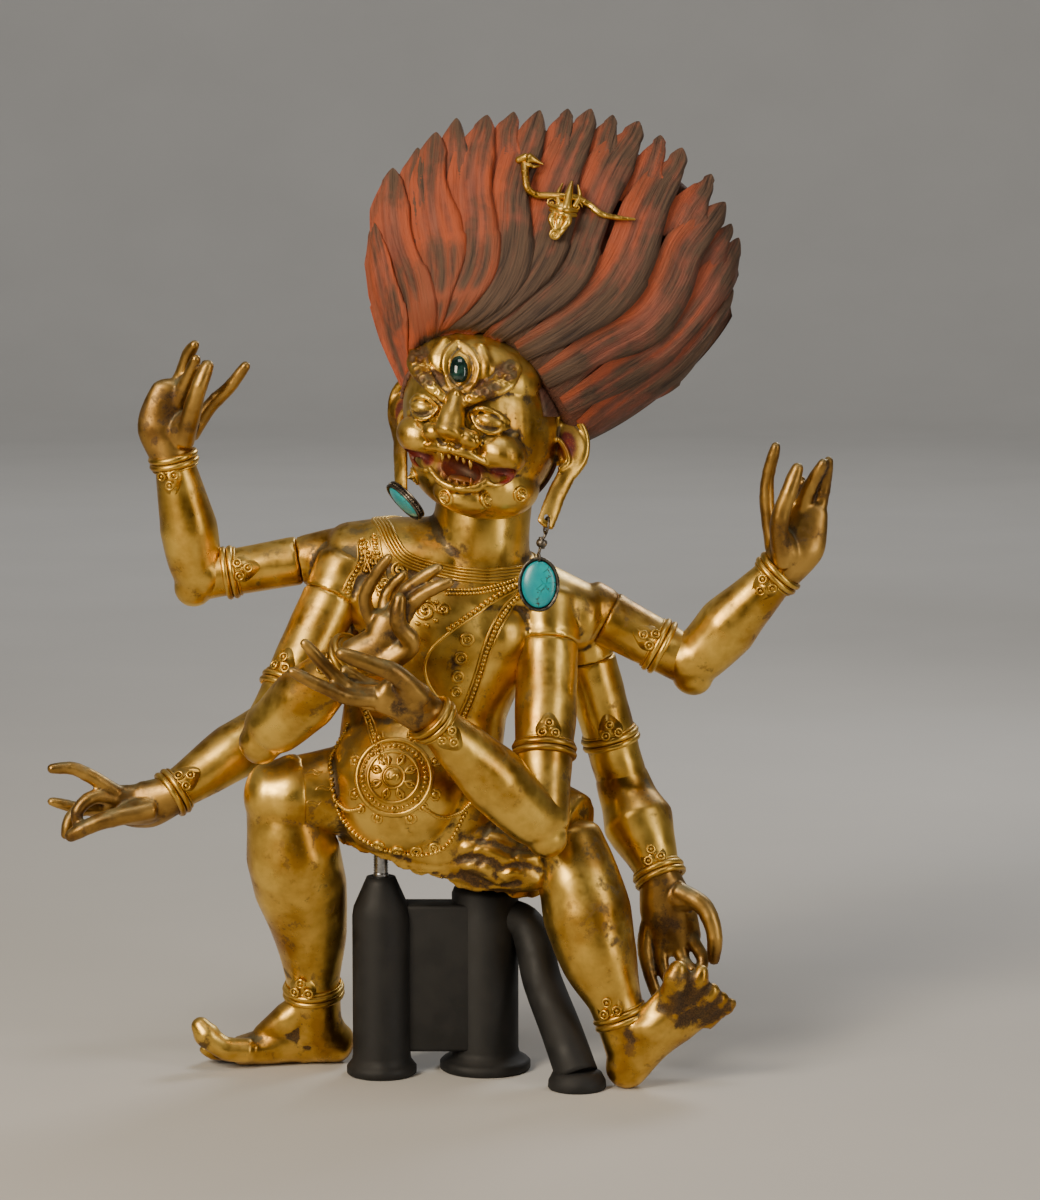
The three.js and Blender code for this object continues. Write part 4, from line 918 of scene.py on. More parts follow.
# Head, in its own frame.
HEAD = (Matrix.Translation((10, -8, 425)) @ Matrix.Rotation(math.radians(10), 4, "Y")
        @ Matrix.Rotation(math.radians(-18), 4, "Z"))
# The face also leans over sideways from its chin to its brow.
LEAN = Matrix.Identity(4)
LEAN[0][2] = -0.17
FACE = HEAD @ LEAN


def both(points, side):
    return [(side * p[0], p[1], p[2]) for p in points]


def face_forms(bm):
    lump(bm, (0, 0, 6), (51, 54, 56), around=56, levels=36)
    lump(bm, (0, -14, 36), (45, 34, 27), around=48, levels=28)
    lump(bm, (0, -10, -30), (42, 38, 26), around=48, levels=28)
    lump(bm, (1, -41, -41), (19, 13, 11))
    limb(bm, [(1, -53, 22), (1, -60.5, 10), (0.5, -64.5, -1)], [(0, 5.5), (0.5, 7.8), (1, 9.8)],
         dome=(0.5, 0.5))
    for side in (-1, 1):
        lump(bm, (side * 11.5, -59.5, -3), (8.4, 7.8, 6.6))
        lump(bm, (side * 22, -46.5, 9.8), (10.8, 9.8, 6.5))
        lump(bm, (side * 27, -40, -9), (16.5, 16.5, 13.5))
        limb(bm, both([(8, -55, 19.5), (16, -54, 25), (26, -46, 32), (32.5, -34, 44)], side),
             [(0, 3.4), (0.4, 6, 4), (0.75, 8.8, 3.6), (1, 6, 2.4)])
        limb(bm, both([(11.5, -54, 12.5), (17, -56.5, 16.6), (25, -53.5, 16.6), (33.5, -44, 11.5)], side),
             [(0, 1.4), (0.5, 2.3), (1, 1.4)])
        limb(bm, both([(11.5, -54, 11), (17, -56, 4.8), (25, -53.5, 3.4), (33.5, -44, 8)], side),
             [(0, 1.2), (0.5, 1.7), (1, 1.2)])
        limb(bm, both([(18, -53, -2), (24, -50, -4), (31, -45, -2), (37, -38, 4)], side),
             [(0, 1), (0.5, 2.8), (1, 1.6)])
        limb(bm, both([(20, -51, -28.5), (27, -45.5, -29), (34, -39, -23), (38, -35, -13)], side),
             [(0, 1.8), (0.6, 1.8), (1, 1.2)])
        limb(bm, both([(7, -44, 30), (16, -42, 40), (12, -38, 53)], side),
             [(0, 3, 2), (0.5, 6.5, 4.4), (1, 4, 3)])
    lump(bm, (1.5, -57, 20.5), (4.6, 3.4, 2.6))
    limb(bm, [(-18, -54, -13.5), (-8, -60, -11.5), (2, -61.5, -11.5), (12, -59.5, -12.5), (21, -52.5, -16)],
         [(0, 2.4), (0.5, 3.6), (1, 2.4)])
    limb(bm, [(-17, -51, -27), (-8, -54.5, -33.8), (4, -55, -35.4), (15, -53, -33), (21, -49, -27)],
         [(0, 2.2), (0.5, 2.7), (1, 2.2)])


def ear_forms(bm, side):
    wide = unit((side * 0.85, 0.5, 0))
    limb(bm, both([(50, 12, 15), (60, 11, 4), (59, 7, -12), (54, -4, -30), (49.6, -15, -50)], side),
         [(0, 5, 2.4), (0.16, 10.5, 3), (0.34, 10.5, 3), (0.5, 6, 2.6), (1, 6, 2.4)], wide=wide,
         dome=(0.4, 0.45), around=24, step=2)
    lump(bm, (side * 48, 12, -2), (9, 7, 13))
    rim = [(49, 6, 8), (51, 9, 19), (59, 13, 19), (66.5, 15, 8), (67, 13, -5), (61, 7, -17), (55, 1, -23)]
    limb(bm, both(rim, side), [(0, 1.8), (0.3, 2.8), (0.8, 2.6), (1, 2)], around=16, step=2)
    limb(bm, both([(53, 1, 3), (57, 3, -3), (58, 4, -10), (54, 0, -15)], side),
         [(0, 1.8), (0.5, 2.2), (1, 1.6)], around=14, step=2)


def head():
    bm = bmesh.new()
    face_forms(bm)
    for side in (-1, 1):
        ear_forms(bm, side)
    piece = skin("head", bm, FACE_STEP, 3)
    tools = []
    for centre, half, tilt in (((2, -54, -23.8), (17.5, 15, 9), 8), ((30, -46, -21), (9.5, 6.5, 6), -18),
                               ((-27, -46, -20.5), (9.5, 6.5, 6.5), 14)):
        tool = bmesh.new()
        lump(tool, centre, half, Matrix.Rotation(math.radians(tilt), 4, "Y"), around=40, levels=28)
        tools.append(raw_piece("mouth", tool))
    for side in (-1, 1):
        tool = bmesh.new()
        way = np.array((side * -0.5, 0.85, 0)) * 12
        end = np.array((side * 50, -14, -46))
        limb(tool, [end - way, end, end + way], [(0, 1.9), (1, 1.9)], wide=(0, 0, 1), dome=(0, 0))
        tools.append(raw_piece("lobe_hole", tool))
    piece = cut_by(piece, *tools)
    surface = Surface(piece)
    hammer(surface, 18, 0.2, seed=5)
    surface.write()
    chase_face(surface)
    extra = bmesh.new()
    teeth_and_chin_bosses(extra, surface)
    piece = join("head", [piece, raw_piece("ornaments", extra)])
    piece.data.transform(FACE)
    return piece


def chase_face(surface):
    onto = lambda points: [surface.near((x, -120, z), (0, 1, 0))[0] for x, z in points]
    cut = lambda points, width, height: surface.chase(onto(points), width, height)
    cut([(-4, 55), (4, 52), (13, 43), (11, 31), (2.5, 24)], 1.5, 1.1)
    cut([(-4, 55), (-9.5, 46), (-10, 36), (-6, 28), (2.5, 24)], 1.5, 1.1)
    cut([(-2, 51), (6, 47), (9, 40), (7, 32), (2.5, 27)], 1.0, -1.0)
    cut([(-2, 51), (-6, 44), (-6, 36), (-3, 30), (2.5, 27)], 1.0, -1.0)
    for side in (-1, 1):
        cut([(side * 12.5, 12), (side * 17, 15), (side * 25, 14.8), (side * 32, 11)], 0.8, -0.8)
        cut([(side * 12.5, 12), (side * 17, 6.6), (side * 25, 5.2), (side * 32, 9)], 0.8, -0.8)
        cut([(side * 11, 6), (side * 15, 0), (side * 24, -1.5), (side * 34, 3)], 1.2, -0.6)
        cut([(side * 7.5, -7), (side * 5, -9), (side * 2.5, -8.2)], 1.1, -1.6)
        cut([(side * 9, 3.5), (side * 14.5, 3), (side * 18.5, -3), (side * 17.5, -8)], 0.9, -0.9)
    for side in (-1, 1):
        for x, z, size, turn in ((11, 22, 2.2, 0.4), (15.5, 26, 2.5, 0.8), (21, 27.5, 2.6, 0.2),
                                 (20.5, 33, 2.6, 1.2), (26.5, 32, 2.8, 0.5),
                                 (27, 38.5, 2.8, 1.4), (32, 38, 2.5, 0.7), (31.5, 44.5, 2.4, 1.6)):
            cut([(side * (x + size * math.cos(a + turn)), z + size * math.sin(a + turn))
                 for a in np.linspace(0, 4.6, 7)], 0.6, 0.85)
            cut([(side * x, z), (side * (x + 0.3), z + 0.3)], 0.9, -0.8)
    cut([(-16, -15.5), (-5, -14.4), (5, -15.5), (15, -17.5), (20.5, -21.5)], 0.8, 0.7)
    cut([(-16, -28.5), (-6, -33.6), (7, -34.4), (18, -29.5)], 0.7, 0.6)
    surface.write()


def teeth_and_chin_bosses(bm, surface):
    """Upper and lower teeth, the tongue, and four ringed bosses along the jaw."""
    for x, z, length in ((-8, -15.5, 5), (-3.5, -15.2, 3), (2, -15.5, 3), (6.5, -16.3, 3), (11, -17, 5)):
        limb(bm, [(x, -53.5, z), (x + 0.3, -54, z - length * 0.5), (x, -53, z - length)],
             [(0, 1.6), (0.6, 1.1), (1, 0.4)], around=10, step=1)
    for x, z, length in ((-9, -31.8, 4.5), (-4, -33, 2.6), (1.5, -33.4, 2.6), (6.5, -33.2, 2.6),
                         (11, -32.2, 4.5)):
        limb(bm, [(x, -50, z), (x - 0.2, -51.5, z + length * 0.5), (x, -51.5, z + length)],
             [(0, 1.5), (0.6, 1.0), (1, 0.4)], around=10, step=1)
    lump(bm, (2, -42, -30.5), (9.5, 9, 2.8))
    for x, z in ((-5.8, -42.5), (19, -39.6), (36.5, -33.5), (-36, -36)):
        spot, way = surface.near((x, -120, z), (0, 1, 0))
        m = frame_at(spot, way)
        hoop(bm, m, 4.7, 1.1, around=24, section=8)
        limb(bm, [spot - way * 1.5, spot + way * 1.5, spot + way * 4.2], [(0, 4.2), (0.4, 3.4), (1, 0.9)],
             around=16, step=1)
        for i in range(9):
            a = math.tau * i / 9
            bead(bm, m @ Vector((2.9 * math.cos(a), 2.9 * math.sin(a), 1.6)), 0.75, 1)


def third_eye():
    bm = bmesh.new()
    m = Matrix.Translation((0, -46, 38)) @ Matrix.Rotation(math.radians(-19), 4, "X")
    bmesh.ops.create_uvsphere(bm, u_segments=48, v_segments=32, radius=1,
                              matrix=m @ Matrix.Diagonal((6.7, 5.2, 8.9, 1)))
    for v in bm.verts:
        v.co = FACE @ v.co
    return raw_piece("third_eye_stone", bm)


# Flame hair.
HAIR_ROOT = [(-38, -10, 454), (-27, -27, 482), (2, -31, 489), (29, -31, 478), (50, -25, 451), (68, 2, 412)]
HAIR_TOP = [(-50, 18, 588), (-8, 24, 622), (58, 27, 633), (124, 26, 613), (166, 24, 573), (178, 20, 508)]
# Each lock runs from the hairline to its tip as (x, z, half width). The first rows lie over the rest.
FRONT_LOCKS = [
    [(-37, 454, 3.5), (-45, 484, 7.5), (-50, 512, 10), (-54, 533, 9), (-58, 548, 4.5), (-59, 557, 0.5)],
    [(-30, 461, 3), (-30, 491, 10), (-35, 521, 12.5), (-43, 544, 14), (-47, 567, 11.5), (-47, 582, 6.5),
     (-47, 592, 0.5)],
    [(-22, 481, 3), (-16, 511, 8), (-15, 535, 12.5), (-19, 560, 14.5), (-21, 582, 11.5), (-20, 599, 8.5),
     (-19, 615, 0.5)],
    [(-21, 485, 2.5), (-6, 507, 8.5), (6, 533, 12), (8, 558, 14.5), (6, 580, 14.5), (8, 602, 11.5),
     (12, 616, 6.5), (14, 626, 0.5)],
    [(-16, 486, 2.5), (10, 505, 8.5), (26, 530, 12), (31, 555, 12.5), (32, 577, 11.5), (38, 599, 12),
     (44, 616, 7.5), (48, 629, 0.5)],
    [(-4, 485, 3), (25, 508, 8.5), (45, 534, 12), (54, 558, 13.5), (60, 580, 14), (69, 602, 12.5),
     (77, 618, 7), (81, 630, 0.5)],
    [(15, 482, 4), (45, 507, 9), (67, 528, 11.5), (78, 553, 14.5), (87, 576, 15), (97, 597, 12.5),
     (107, 611, 6.5), (112, 622, 0.5)],
    [(35, 475, 5.5), (67, 493, 10), (92, 513, 12), (108, 538, 14.5), (118, 562, 15), (128, 582, 11.5),
     (136, 594, 6), (140, 605, 0.5)],
    [(50, 458, 5.5), (87, 479, 10), (117, 495, 12), (134, 518, 14), (144, 540, 13.5), (156, 555, 8),
     (168, 570, 0.5)],
    [(64, 440, 5.5), (100, 461, 9), (129, 479, 10.5), (150, 501, 12), (164, 523, 11), (172, 537, 6),
     (177, 547, 0.5)],
    [(76, 424, 6), (102, 443, 9.5), (130, 462, 10), (152, 484, 9), (164, 501, 5.5), (173, 514, 0.5)],
]
BACK_LOCKS = [
    [(-28, 535, 8.5), (-30, 565, 10), (-32, 585, 9), (-31, 597, 5), (-31, 605, 0.5)],
    [(-6, 565, 10.5), (-6, 589, 10.5), (-6, 607, 8.5), (-6, 618, 5), (-6, 624, 0.5)],
    [(25, 577, 11), (27, 599, 10.5), (28, 615, 7.5), (30, 622, 4.5), (31, 628, 0.5)],
    [(53, 577, 11.5), (59, 599, 10.5), (63, 616, 7.5), (65, 624, 4), (66, 630, 0.5)],
    [(82, 575, 11.5), (88, 597, 10.5), (92, 613, 7.5), (94, 620, 4.2), (95, 626, 0.5)],
    [(111, 567, 12.5), (118, 587, 11), (123, 600, 7), (125, 607, 3.8), (126, 613, 0.5)],
    [(134, 545, 12.5), (146, 565, 11), (155, 578, 6.5), (157, 583, 3.5), (159, 588, 0.5)],
    [(147, 521, 11), (161, 540, 9.5), (169, 550, 5), (172, 556, 0.5)],
    [(152, 493, 10), (166, 513, 8), (172, 523, 4.2), (175, 530, 0.5)],
]


def fan_line(across, t):
    """The middle of the fan's thickness: across from right ear to left, t from hairline to tips."""
    roots = smooth_route(HAIR_ROOT, 200)[0]
    tips = smooth_route(HAIR_TOP, 200)[0]
    root, tip = read_along(roots, across), read_along(tips, across)
    early = np.minimum(across * 1.6, 1)
    start = root + np.column_stack([-20 + 66 * early, np.full_like(across, 26), 58 - 44 * across ** 2])
    end = tip + np.column_stack([-26 + 14 * across, np.full_like(across, -14), -66 + 32 * across])
    t = t[:, None]
    return (1 - t) ** 3 * root + 3 * t * (1 - t) ** 2 * start + 3 * t ** 2 * (1 - t) * end + t ** 3 * tip


def fan_depth(across, up):
    """How thick the fan is, thin at its outer edge."""
    edge = np.sqrt(np.maximum(0, 1 - (2 * across - 1) ** 4))
    up = np.clip(up, 0, 1)
    return edge * (46 - 12 * up) * np.minimum(1, np.sqrt(up / 0.16)) * (1 - up ** 3), edge


def hair_attributes(bm):
    """Where a point lies across and along its lock and how deep in a fold, named before any is made."""
    floats = bm.verts.layers.float
    return [floats.get(name) or floats.new(name) for name in ("strand", "along", "fold")]


def fan(bm):
    """The thick body of the hair that the locks lie on."""
    columns, front_rows, back_rows = 120, 40, 48
    rows = front_rows + back_rows
    made, across, run = wrapped_grid(bm, columns, rows)
    run = run * rows
    back = run > front_rows
    up = np.clip(np.where(back, 1 - (run - front_rows) / back_rows, run / front_rows), 0, 1)
    spot = fan_line(across, up * 0.89)
    thick, edge = fan_depth(across, up)
    groove = (edge * 2.2 * np.abs(np.sin(9 * np.pi * across + 1.4 * up))
              * np.clip(up * 6, 0, 1) * np.clip((1 - up) * 5, 0, 1))
    spot[:, 1] += np.where(back, thick * 1.0 + 1.5 * edge + groove, 1.2 - thick * 0.62)
    place(made, spot)
    strand, along, fold = hair_attributes(bm)
    for v, a, u, g in zip(made, across, up, np.where(back, 1 - groove / 2.2, 0.6)):
        v[strand], v[along], v[fold] = 240 * a, u, 0.35 * g


def hair_front():
    """A search tree over the fan's front, that gives the depth to lay a lock at."""
    across, up = (grid.ravel() for grid in np.meshgrid(np.linspace(0, 1, 110), np.linspace(0, 1.1, 90)))
    spot = fan_line(across, up)
    depth = spot[:, 1] - 0.62 * fan_depth(across, up)[0]
    tree = KDTree(len(depth))
    for i, (x, _, z) in enumerate(spot):
        tree.insert((x, z, 0), i)
    tree.balance()
    return tree, depth


def lock(bm, front, points, lift, row, order):
    """One leaf-shaped lock. Its right edge is wavy and stands up over the lock beside it."""
    tree, depth = front
    line = smooth_route([(x, 0, z) for x, z, _ in points], 80)
    gaps = [math.dist(a[:2], b[:2]) for a, b in zip(points[:-1], points[1:])]
    run = np.concatenate([[0], np.cumsum(gaps)])
    stations, halves, length = run / run[-1], np.array([p[2] for p in points], float), line[2]
    made, turn, share = wrapped_grid(bm, 44, 76)
    share = 1 - (1 - share) ** 1.25
    angle = turn * math.tau
    u = np.cos(angle)
    left = (1 - share) * length
    half = np.interp(share, stations[:-1], halves[:-1])
    leaf = halves.max() * np.minimum(left / (27 if row == 0 else 22), 1) ** 0.66
    half = np.minimum(half, leaf) * np.where(share < 0.5, 1.1, 1)
    wave = np.sin(math.tau * (1.45 * share + 0.17 * math.sin(2.3 * order)) - 1.9)
    calm = np.clip(share * 3, 0, 1) * np.clip((1 - share) * 4.5, 0, 1)
    reach = half * np.where(u > 0, 1 + 0.24 * wave * calm, 1.0 + 0.3 * np.clip((1 - share) * 5, 0, 1))
    spot = read_along(line[0][:, ::2], share)
    way = unit_rows(read_along(line[1][:, ::2], share))
    side = u * reach
    spot += np.column_stack([way[:, 1], -way[:, 0]]) * side[:, None]
    base = []
    for x, z in spot:
        found = tree.find_n((x, z, 0), 5)
        near = np.array([1 / (f[2] + 0.4) ** 2 for f in found])
        base.append(sum(near * [depth[f[1]] for f in found]) / near.sum())
    grown = np.interp(share, (0, 0.2, 0.5, 0.8, 0.93, 1), (0.16, 0.45, 1, 0.85, 0.5, 0.2)) * lift
    slope = np.clip((u + 1) / 1.72, 0, 1)
    slope = slope ** 2 * (3 - 2 * slope)
    tread = (0.12 + 0.88 * slope) * np.sqrt(1 - np.clip((u - 0.74) / 0.26, 0, 1) ** 2)
    ripple = (0.3 * np.sin(side * 2.1 + 2 * np.sin(share * 5 + order))
              + 0.34 * np.sin(side * 0.8 + 1.7 * order + 3 * share))
    ripple *= (1 - u ** 2) * np.clip(share * 7, 0, 1) * np.clip(left / 10, 0, 1)
    out = np.where(np.sin(angle) > 0, grown * tread + ripple + 0.3,
                   -1.7 * np.sqrt(1 - u ** 2) * np.clip(left / 8, 0.2, 1))
    front_most = 1.3 * np.clip((share - 0.5) * 4, 0, 1) if row == 0 else 0
    place(made, np.column_stack([spot[:, 0], np.array(base) - out - front_most, spot[:, 1]]))
    strand, along, fold = hair_attributes(bm)
    deep = np.clip((-0.28 - u) / 0.3, 0, 1) * np.clip(left / 12, 0, 1)
    for v, s, t, d in zip(made, side, share, deep):
        v[strand], v[along], v[fold] = s + 31 * order, t if row == 0 else 0.4 + 0.6 * t, d


def hair_cap():
    """The hair on the skull behind the hairline, as a thin shell."""
    cap = bmesh.new()
    strand, along, _ = hair_attributes(cap)
    shell = lump(cap, (0, 0, 6), (53, 56, 58), around=120, levels=80)
    hairline = ((-50, -38, -35, -27, -8, 5, 13, 24, 33, 41, 46, 50),
                (8, 30, 47, 54, 55.5, 57, 55, 51, 46, 36, 27, 14))
    gone = []
    for v in shell:
        x, y, z = v.co
        on_brow = y < 6 and z < np.interp(x, *hairline) + 1.2 + 0.5 * math.sin(x * 0.9)
        if on_brow or -0.9 * (y - 8) - 0.45 * z > 30 or z < -42:
            gone.append(v)
        v[strand], v[along] = 1.6 * x, 0.2 + 0.002 * z
    bmesh.ops.delete(cap, geom=gone, context="VERTS")
    bmesh.ops.remove_doubles(cap, verts=cap.verts, dist=0.001)
    bmesh.ops.recalc_face_normals(cap, faces=cap.faces)
    bmesh.ops.solidify(cap, geom=cap.faces[:], thickness=2.4)
    for v in cap.verts:
        v.co = FACE @ v.co
    return raw_piece("cap", cap)


def flame_hair():
    bm = bmesh.new()
    hair_attributes(bm)
    fan(bm)
    front = hair_front()
    for order, points in enumerate(BACK_LOCKS):
        lock(bm, front, points, 3.4, 1, order + 20)
    for order, points in enumerate(FRONT_LOCKS):
        lock(bm, front, points, 6.2, 0, order)
    return join("flame_hair", [raw_piece("flame_hair", bm), hair_cap()])


def hair_snake(hair):
    """The small snake with its bird-like head, lying through a bud with petals, volutes and a ring boss."""
    bm = bmesh.new()
    near = ((0, 0), (3, 0), (-3, 0), (0, 3), (0, -3))
    deep = lambda x, z: min(hair.near((x + a, -200, z + b), (0, 1, 0))[0][1] for a, b in near)
    put = lambda x, z, lift=1.6: (x, deep(x, z) - lift, z)
    body = [put(*p) for p in ((38, 594), (38.5, 586), (40, 579), (45, 575), (53, 574.5), (62, 574),
                              (71, 573), (78.5, 569), (86.5, 563), (97, 560.5), (108, 559.5))]
    limb(bm, body, [(0, 2.6), (0.12, 2.3), (0.35, 2.5), (0.7, 2.2), (0.9, 1.6), (1, 0.8)], around=20,
         step=1)
    line, ways, _ = smooth_route(body, 90)
    for i in range(6, 88, 4):
        hoop(bm, frame_at(line[i], ways[i]), np.interp(i, (0, 60, 90), (2.2, 2.1, 0.9)), 0.5, around=20,
             section=6)
    limb(bm, [put(34.5, 597, 2.2), put(40, 598, 3), put(49.5, 594.5, 2.4)],
         [(0, 2.6), (0.35, 4.2, 3.4), (0.6, 2.6), (1, 0.5)], around=20, step=1)
    limb(bm, [put(39, 594, 2), put(43, 593, 2.4), put(47, 593, 2)], [(0, 2), (1, 0.6)], around=12, step=1)
    bead(bm, put(39.5, 599, 5.8), 1.2)
    hoop(bm, Matrix.Translation(put(39.5, 599, 5.6)) @ Matrix.Rotation(math.radians(90), 4, "X"), 1.6, 0.5,
         around=16, section=6)
    # The bud: stem and two leaves above the collar, petals and a ring boss below it.
    for points, wide in (([(64.5, 567), (66, 575), (68, 583)], 3.2),
                         ([(60, 569), (59, 575), (62, 582)], 1.9),
                         ([(70, 568), (73, 574), (72, 581)], 1.9)):
        limb(bm, [put(*p, 2.2) for p in points], [(0, wide), (0.5, wide * 0.9), (1, wide * 0.35)],
             around=14, step=1)
    for shift, reach in ((-1.7, 7.6), (1.2, 8.3)):
        limb(bm, [put(62.4 - reach, 567.4 + shift, 1.6), put(62.4, 564.6 + shift, 6.4),
                  put(62.4 + reach, 563.8 + shift, 1.6)], [(0, 1.5), (1, 1.5)], around=12, step=1)
    for x, z in ((54.8, 570), (71.4, 567.4)):
        coil(bm, np.array(put(x, z, 1.6)), np.array((0, -1.0, 0)), 3.2, 1.4)
    limb(bm, [put(62, 565, 1), put(60, 557, 1.6), put(57.5, 550, 1)],
         [(0, 7, 3.2), (0.5, 6.6, 3.4), (1, 3.6, 2.6)], around=24, step=1)
    for shift in (-4.6, 0, 4.6):
        limb(bm, [put(61.6 + shift, 563.6 - 0.2 * shift, 3.4),
                  put(60 + shift * 1.1, 558.5 - 0.2 * shift, 5), put(59 + shift * 0.5, 553.5, 3)],
             [(0, 1.8), (0.5, 2.5), (1, 1)], around=14, step=1)
    boss(bm, np.array(put(57, 550.5, 4)), np.array((0, -1.0, 0)), 3.6)
    lump(bm, put(57, 550.5, 3), (2.2, 1.8, 2.2))
    return raw_piece("hair_snake", bm)


# Ear drops.
STONES = {
    "left": dict(centre=(47, -40, 328), way=(0, -1, 0.12)),
    "right": dict(centre=(-38, -30, 381), way=(-0.75, -0.3, -0.6)),
}


def stone_matrix(side):
    stone = STONES[side]
    way = Vector(stone["way"]).normalized()
    turn = Vector((0, 0, 1)).rotation_difference(way).to_matrix().to_4x4()
    return Matrix.Translation(stone["centre"]) @ turn


def turquoise_stone(side):
    bm = bmesh.new()
    bmesh.ops.create_uvsphere(bm, u_segments=64, v_segments=40, radius=1)
    for v in bm.verts:
        x, y, z = v.co
        v.co = (x * 11, y * 15, 0.6 + 3.4 * (z + 0.25) if z > -0.25 else 0.3 + max(z + 0.35, -0.1))
        v.co.z = min(max(v.co.z, 0.1), 5)
    piece = raw_piece(side + "_earring_turquoise", bm)
    piece.data.transform(stone_matrix(side))
    return piece


def setting(side):
    bm = bmesh.new()
    cup = bmesh.ops.create_circle(bm, cap_ends=True, segments=64, radius=1)["verts"]
    face = cup[0].link_faces[0]
    for v in cup:
        v.co = (v.co.x * 12.6, v.co.y * 16.8, -1.8)
    wall = bmesh.ops.extrude_face_region(bm, geom=[face], use_keep_orig=True)["geom"]
    top = [g for g in wall if isinstance(g, bmesh.types.BMFace)]
    bmesh.ops.translate(bm, verts=top[0].verts[:], vec=(0, 0, 4.9))
    bmesh.ops.inset_region(bm, faces=top, thickness=1.25)
    bmesh.ops.translate(bm, verts=top[0].verts[:], vec=(0, 0, -3.2))
    bmesh.ops.recalc_face_normals(bm, faces=bm.faces)
    for level in (-1.4, 2.2):
        hoop(bm, Matrix.Translation((0, 0, level)) @ Matrix.Diagonal((1, 1.33, 1, 1)), 12.7, 0.6, around=64,
             section=6)
    for i in range(48):
        a = math.tau * i / 48
        bead(bm, (12.9 * math.cos(a), 17.1 * math.sin(a), 0.4), 0.75, 1)
    piece = raw_piece(side + "_earring_setting", bm)
    piece.data.transform(stone_matrix(side))
    return piece


def left_drop():
    bm = bmesh.new()
    lobe = np.array(FACE @ Vector((50, -14, -46)))
    top = np.array((47, -40, 344.6))
    middle = mixed(lobe, top, 0.62)
    wide = FACE.to_3x3() @ Vector((0.85, 0.5, 0))
    hoop(bm, frame_at(lobe + (0, 0, -5), wide), 5, 0.9, around=32, section=8)
    hoop(bm, frame_at(top + (0, 0, 1), (1, 0.2, 0)), 2.6, 0.8, around=24, section=8)
    start = lobe + (0, 0, -9.6)
    limb(bm, [start, middle, top + (0, 0, 3)], [(0, 0.9), (1, 0.9)], around=12, step=1)
    bead(bm, middle, (3.6, 3.6, 3.3), 3)
    for lift in (-3.2, 3.2):
        hoop(bm, frame_at(middle + (0, 0, lift), (0, 0, 1)), 1.4, 0.7, around=20, section=6)
    return raw_piece("left_earring_drop", bm)


# Stand.
def turned(bm, spot, profile, around=64):
    """A profile of (radius, height) spun once round an upright axis."""
    verts = []
    edges = []
    for radius, height in profile:
        verts.append(bm.verts.new((spot[0] + radius, spot[1], height)))
    for a, b in zip(verts, verts[1:]):
        edges.append(bm.edges.new((a, b)))
    bmesh.ops.spin(bm, geom=verts + edges, cent=(*spot, 0), axis=(0, 0, 1), angle=math.tau, steps=around,
                   use_merge=True)
    bmesh.ops.remove_doubles(bm, verts=bm.verts, dist=0.001)
    bmesh.ops.recalc_face_normals(bm, faces=bm.faces)


def stand_body():
    bm = bmesh.new()
    turned(bm, (-56, -6), [(0, 0), (22, 0), (23, 1), (23, 5), (21.5, 7), (19.6, 9.5), (19, 13),
                           (19, 106), (18, 112), (11, 128), (9.5, 131.5), (5.6, 132), (5.4, 116), (0, 116)])
    turned(bm, (12, 8), [(0, 0), (29, 0), (30, 1), (30, 5), (28, 7), (23, 10), (22, 14),
                         (22, 118), (20.5, 121.5), (14, 122), (13, 124), (13, 181), (0, 181.4)])
    turned(bm, (72, -44), [(0, 0), (18.4, 0), (19, 1), (18.6, 5), (16, 10), (12, 12), (0, 12)])
    piece = raw_piece("stand_body", bm)
    web = bmesh.new()
    limb(web, [(14, 4, 104), (38, 2, 98), (50, -12, 62), (62, -30, 34), (72, -44, 8)],
         [(0, 12), (0.5, 13), (1, 14)], dome=(1, 0), around=40)
    box = bmesh.ops.create_cube(web, size=1, matrix=Matrix.Translation((-22, 1, 64))
                                @ Matrix.Diagonal((68, 24, 98, 1)))["verts"]
    bmesh.ops.bevel(web, geom=list({e for v in box for e in v.link_edges}), offset=2.5, segments=4,
                    profile=0.5, affect="EDGES", material=-1)
    return join("stand_body", [piece, raw_piece("web", web)])


def stand_pin():
    bm = bmesh.new()
    profile = [(0, 116.2), (4.6, 116.2), (5, 117), (5, 133)]
    for i in range(26):
        z = 134 + 1.75 * i
        profile += [(5, z), (4.3, z + 0.85)]
    profile += [(5, 180), (4.4, 181.5), (0, 181.6)]
    turned(bm, (-56, -6), profile, 40)
    return raw_piece("stand_pin", bm)


# Materials.
# Sockets of a colour mix. They go by number, as the node has others of the same names.
SHARE, FIRST, SECOND, MIXED = 0, 6, 7, 2


def srgb(code):
    """A colour written as on a paint chart, in the light values that shading uses."""
    parts = [int(code[i:i + 2], 16) / 255 for i in (1, 3, 5)]
    return (*(p / 12.92 if p <= 0.04045 else ((p + 0.055) / 1.055) ** 2.4 for p in parts), 1)


def feed(tree, made, inputs):
    """Gives inputs, by name or in order, a value or a link from the socket that it comes from."""
    for key, value in inputs.items() if isinstance(inputs, dict) else enumerate(inputs):
        if isinstance(value, bpy.types.NodeSocket):
            tree.links.new(value, made.inputs[key])
        else:
            made.inputs[key].default_value = value


def node(tree, kind, inputs=(), out=0, **settings):
    """Adds one node with its settings and links, and gives back the output that is wanted."""
    made = tree.nodes.new("ShaderNode" + kind)
    for key, value in settings.items():
        setattr(made, key, value)
    feed(tree, made, inputs)
    return made.outputs[out]


def new_material(name):
    """An empty material, its tree, its surface node and the place on the piece."""
    material = bpy.data.materials.new(name)
    material.use_nodes = True
    tree = material.node_tree
    return material, tree, tree.nodes["Principled BSDF"], node(tree, "TexCoord", out="Object")


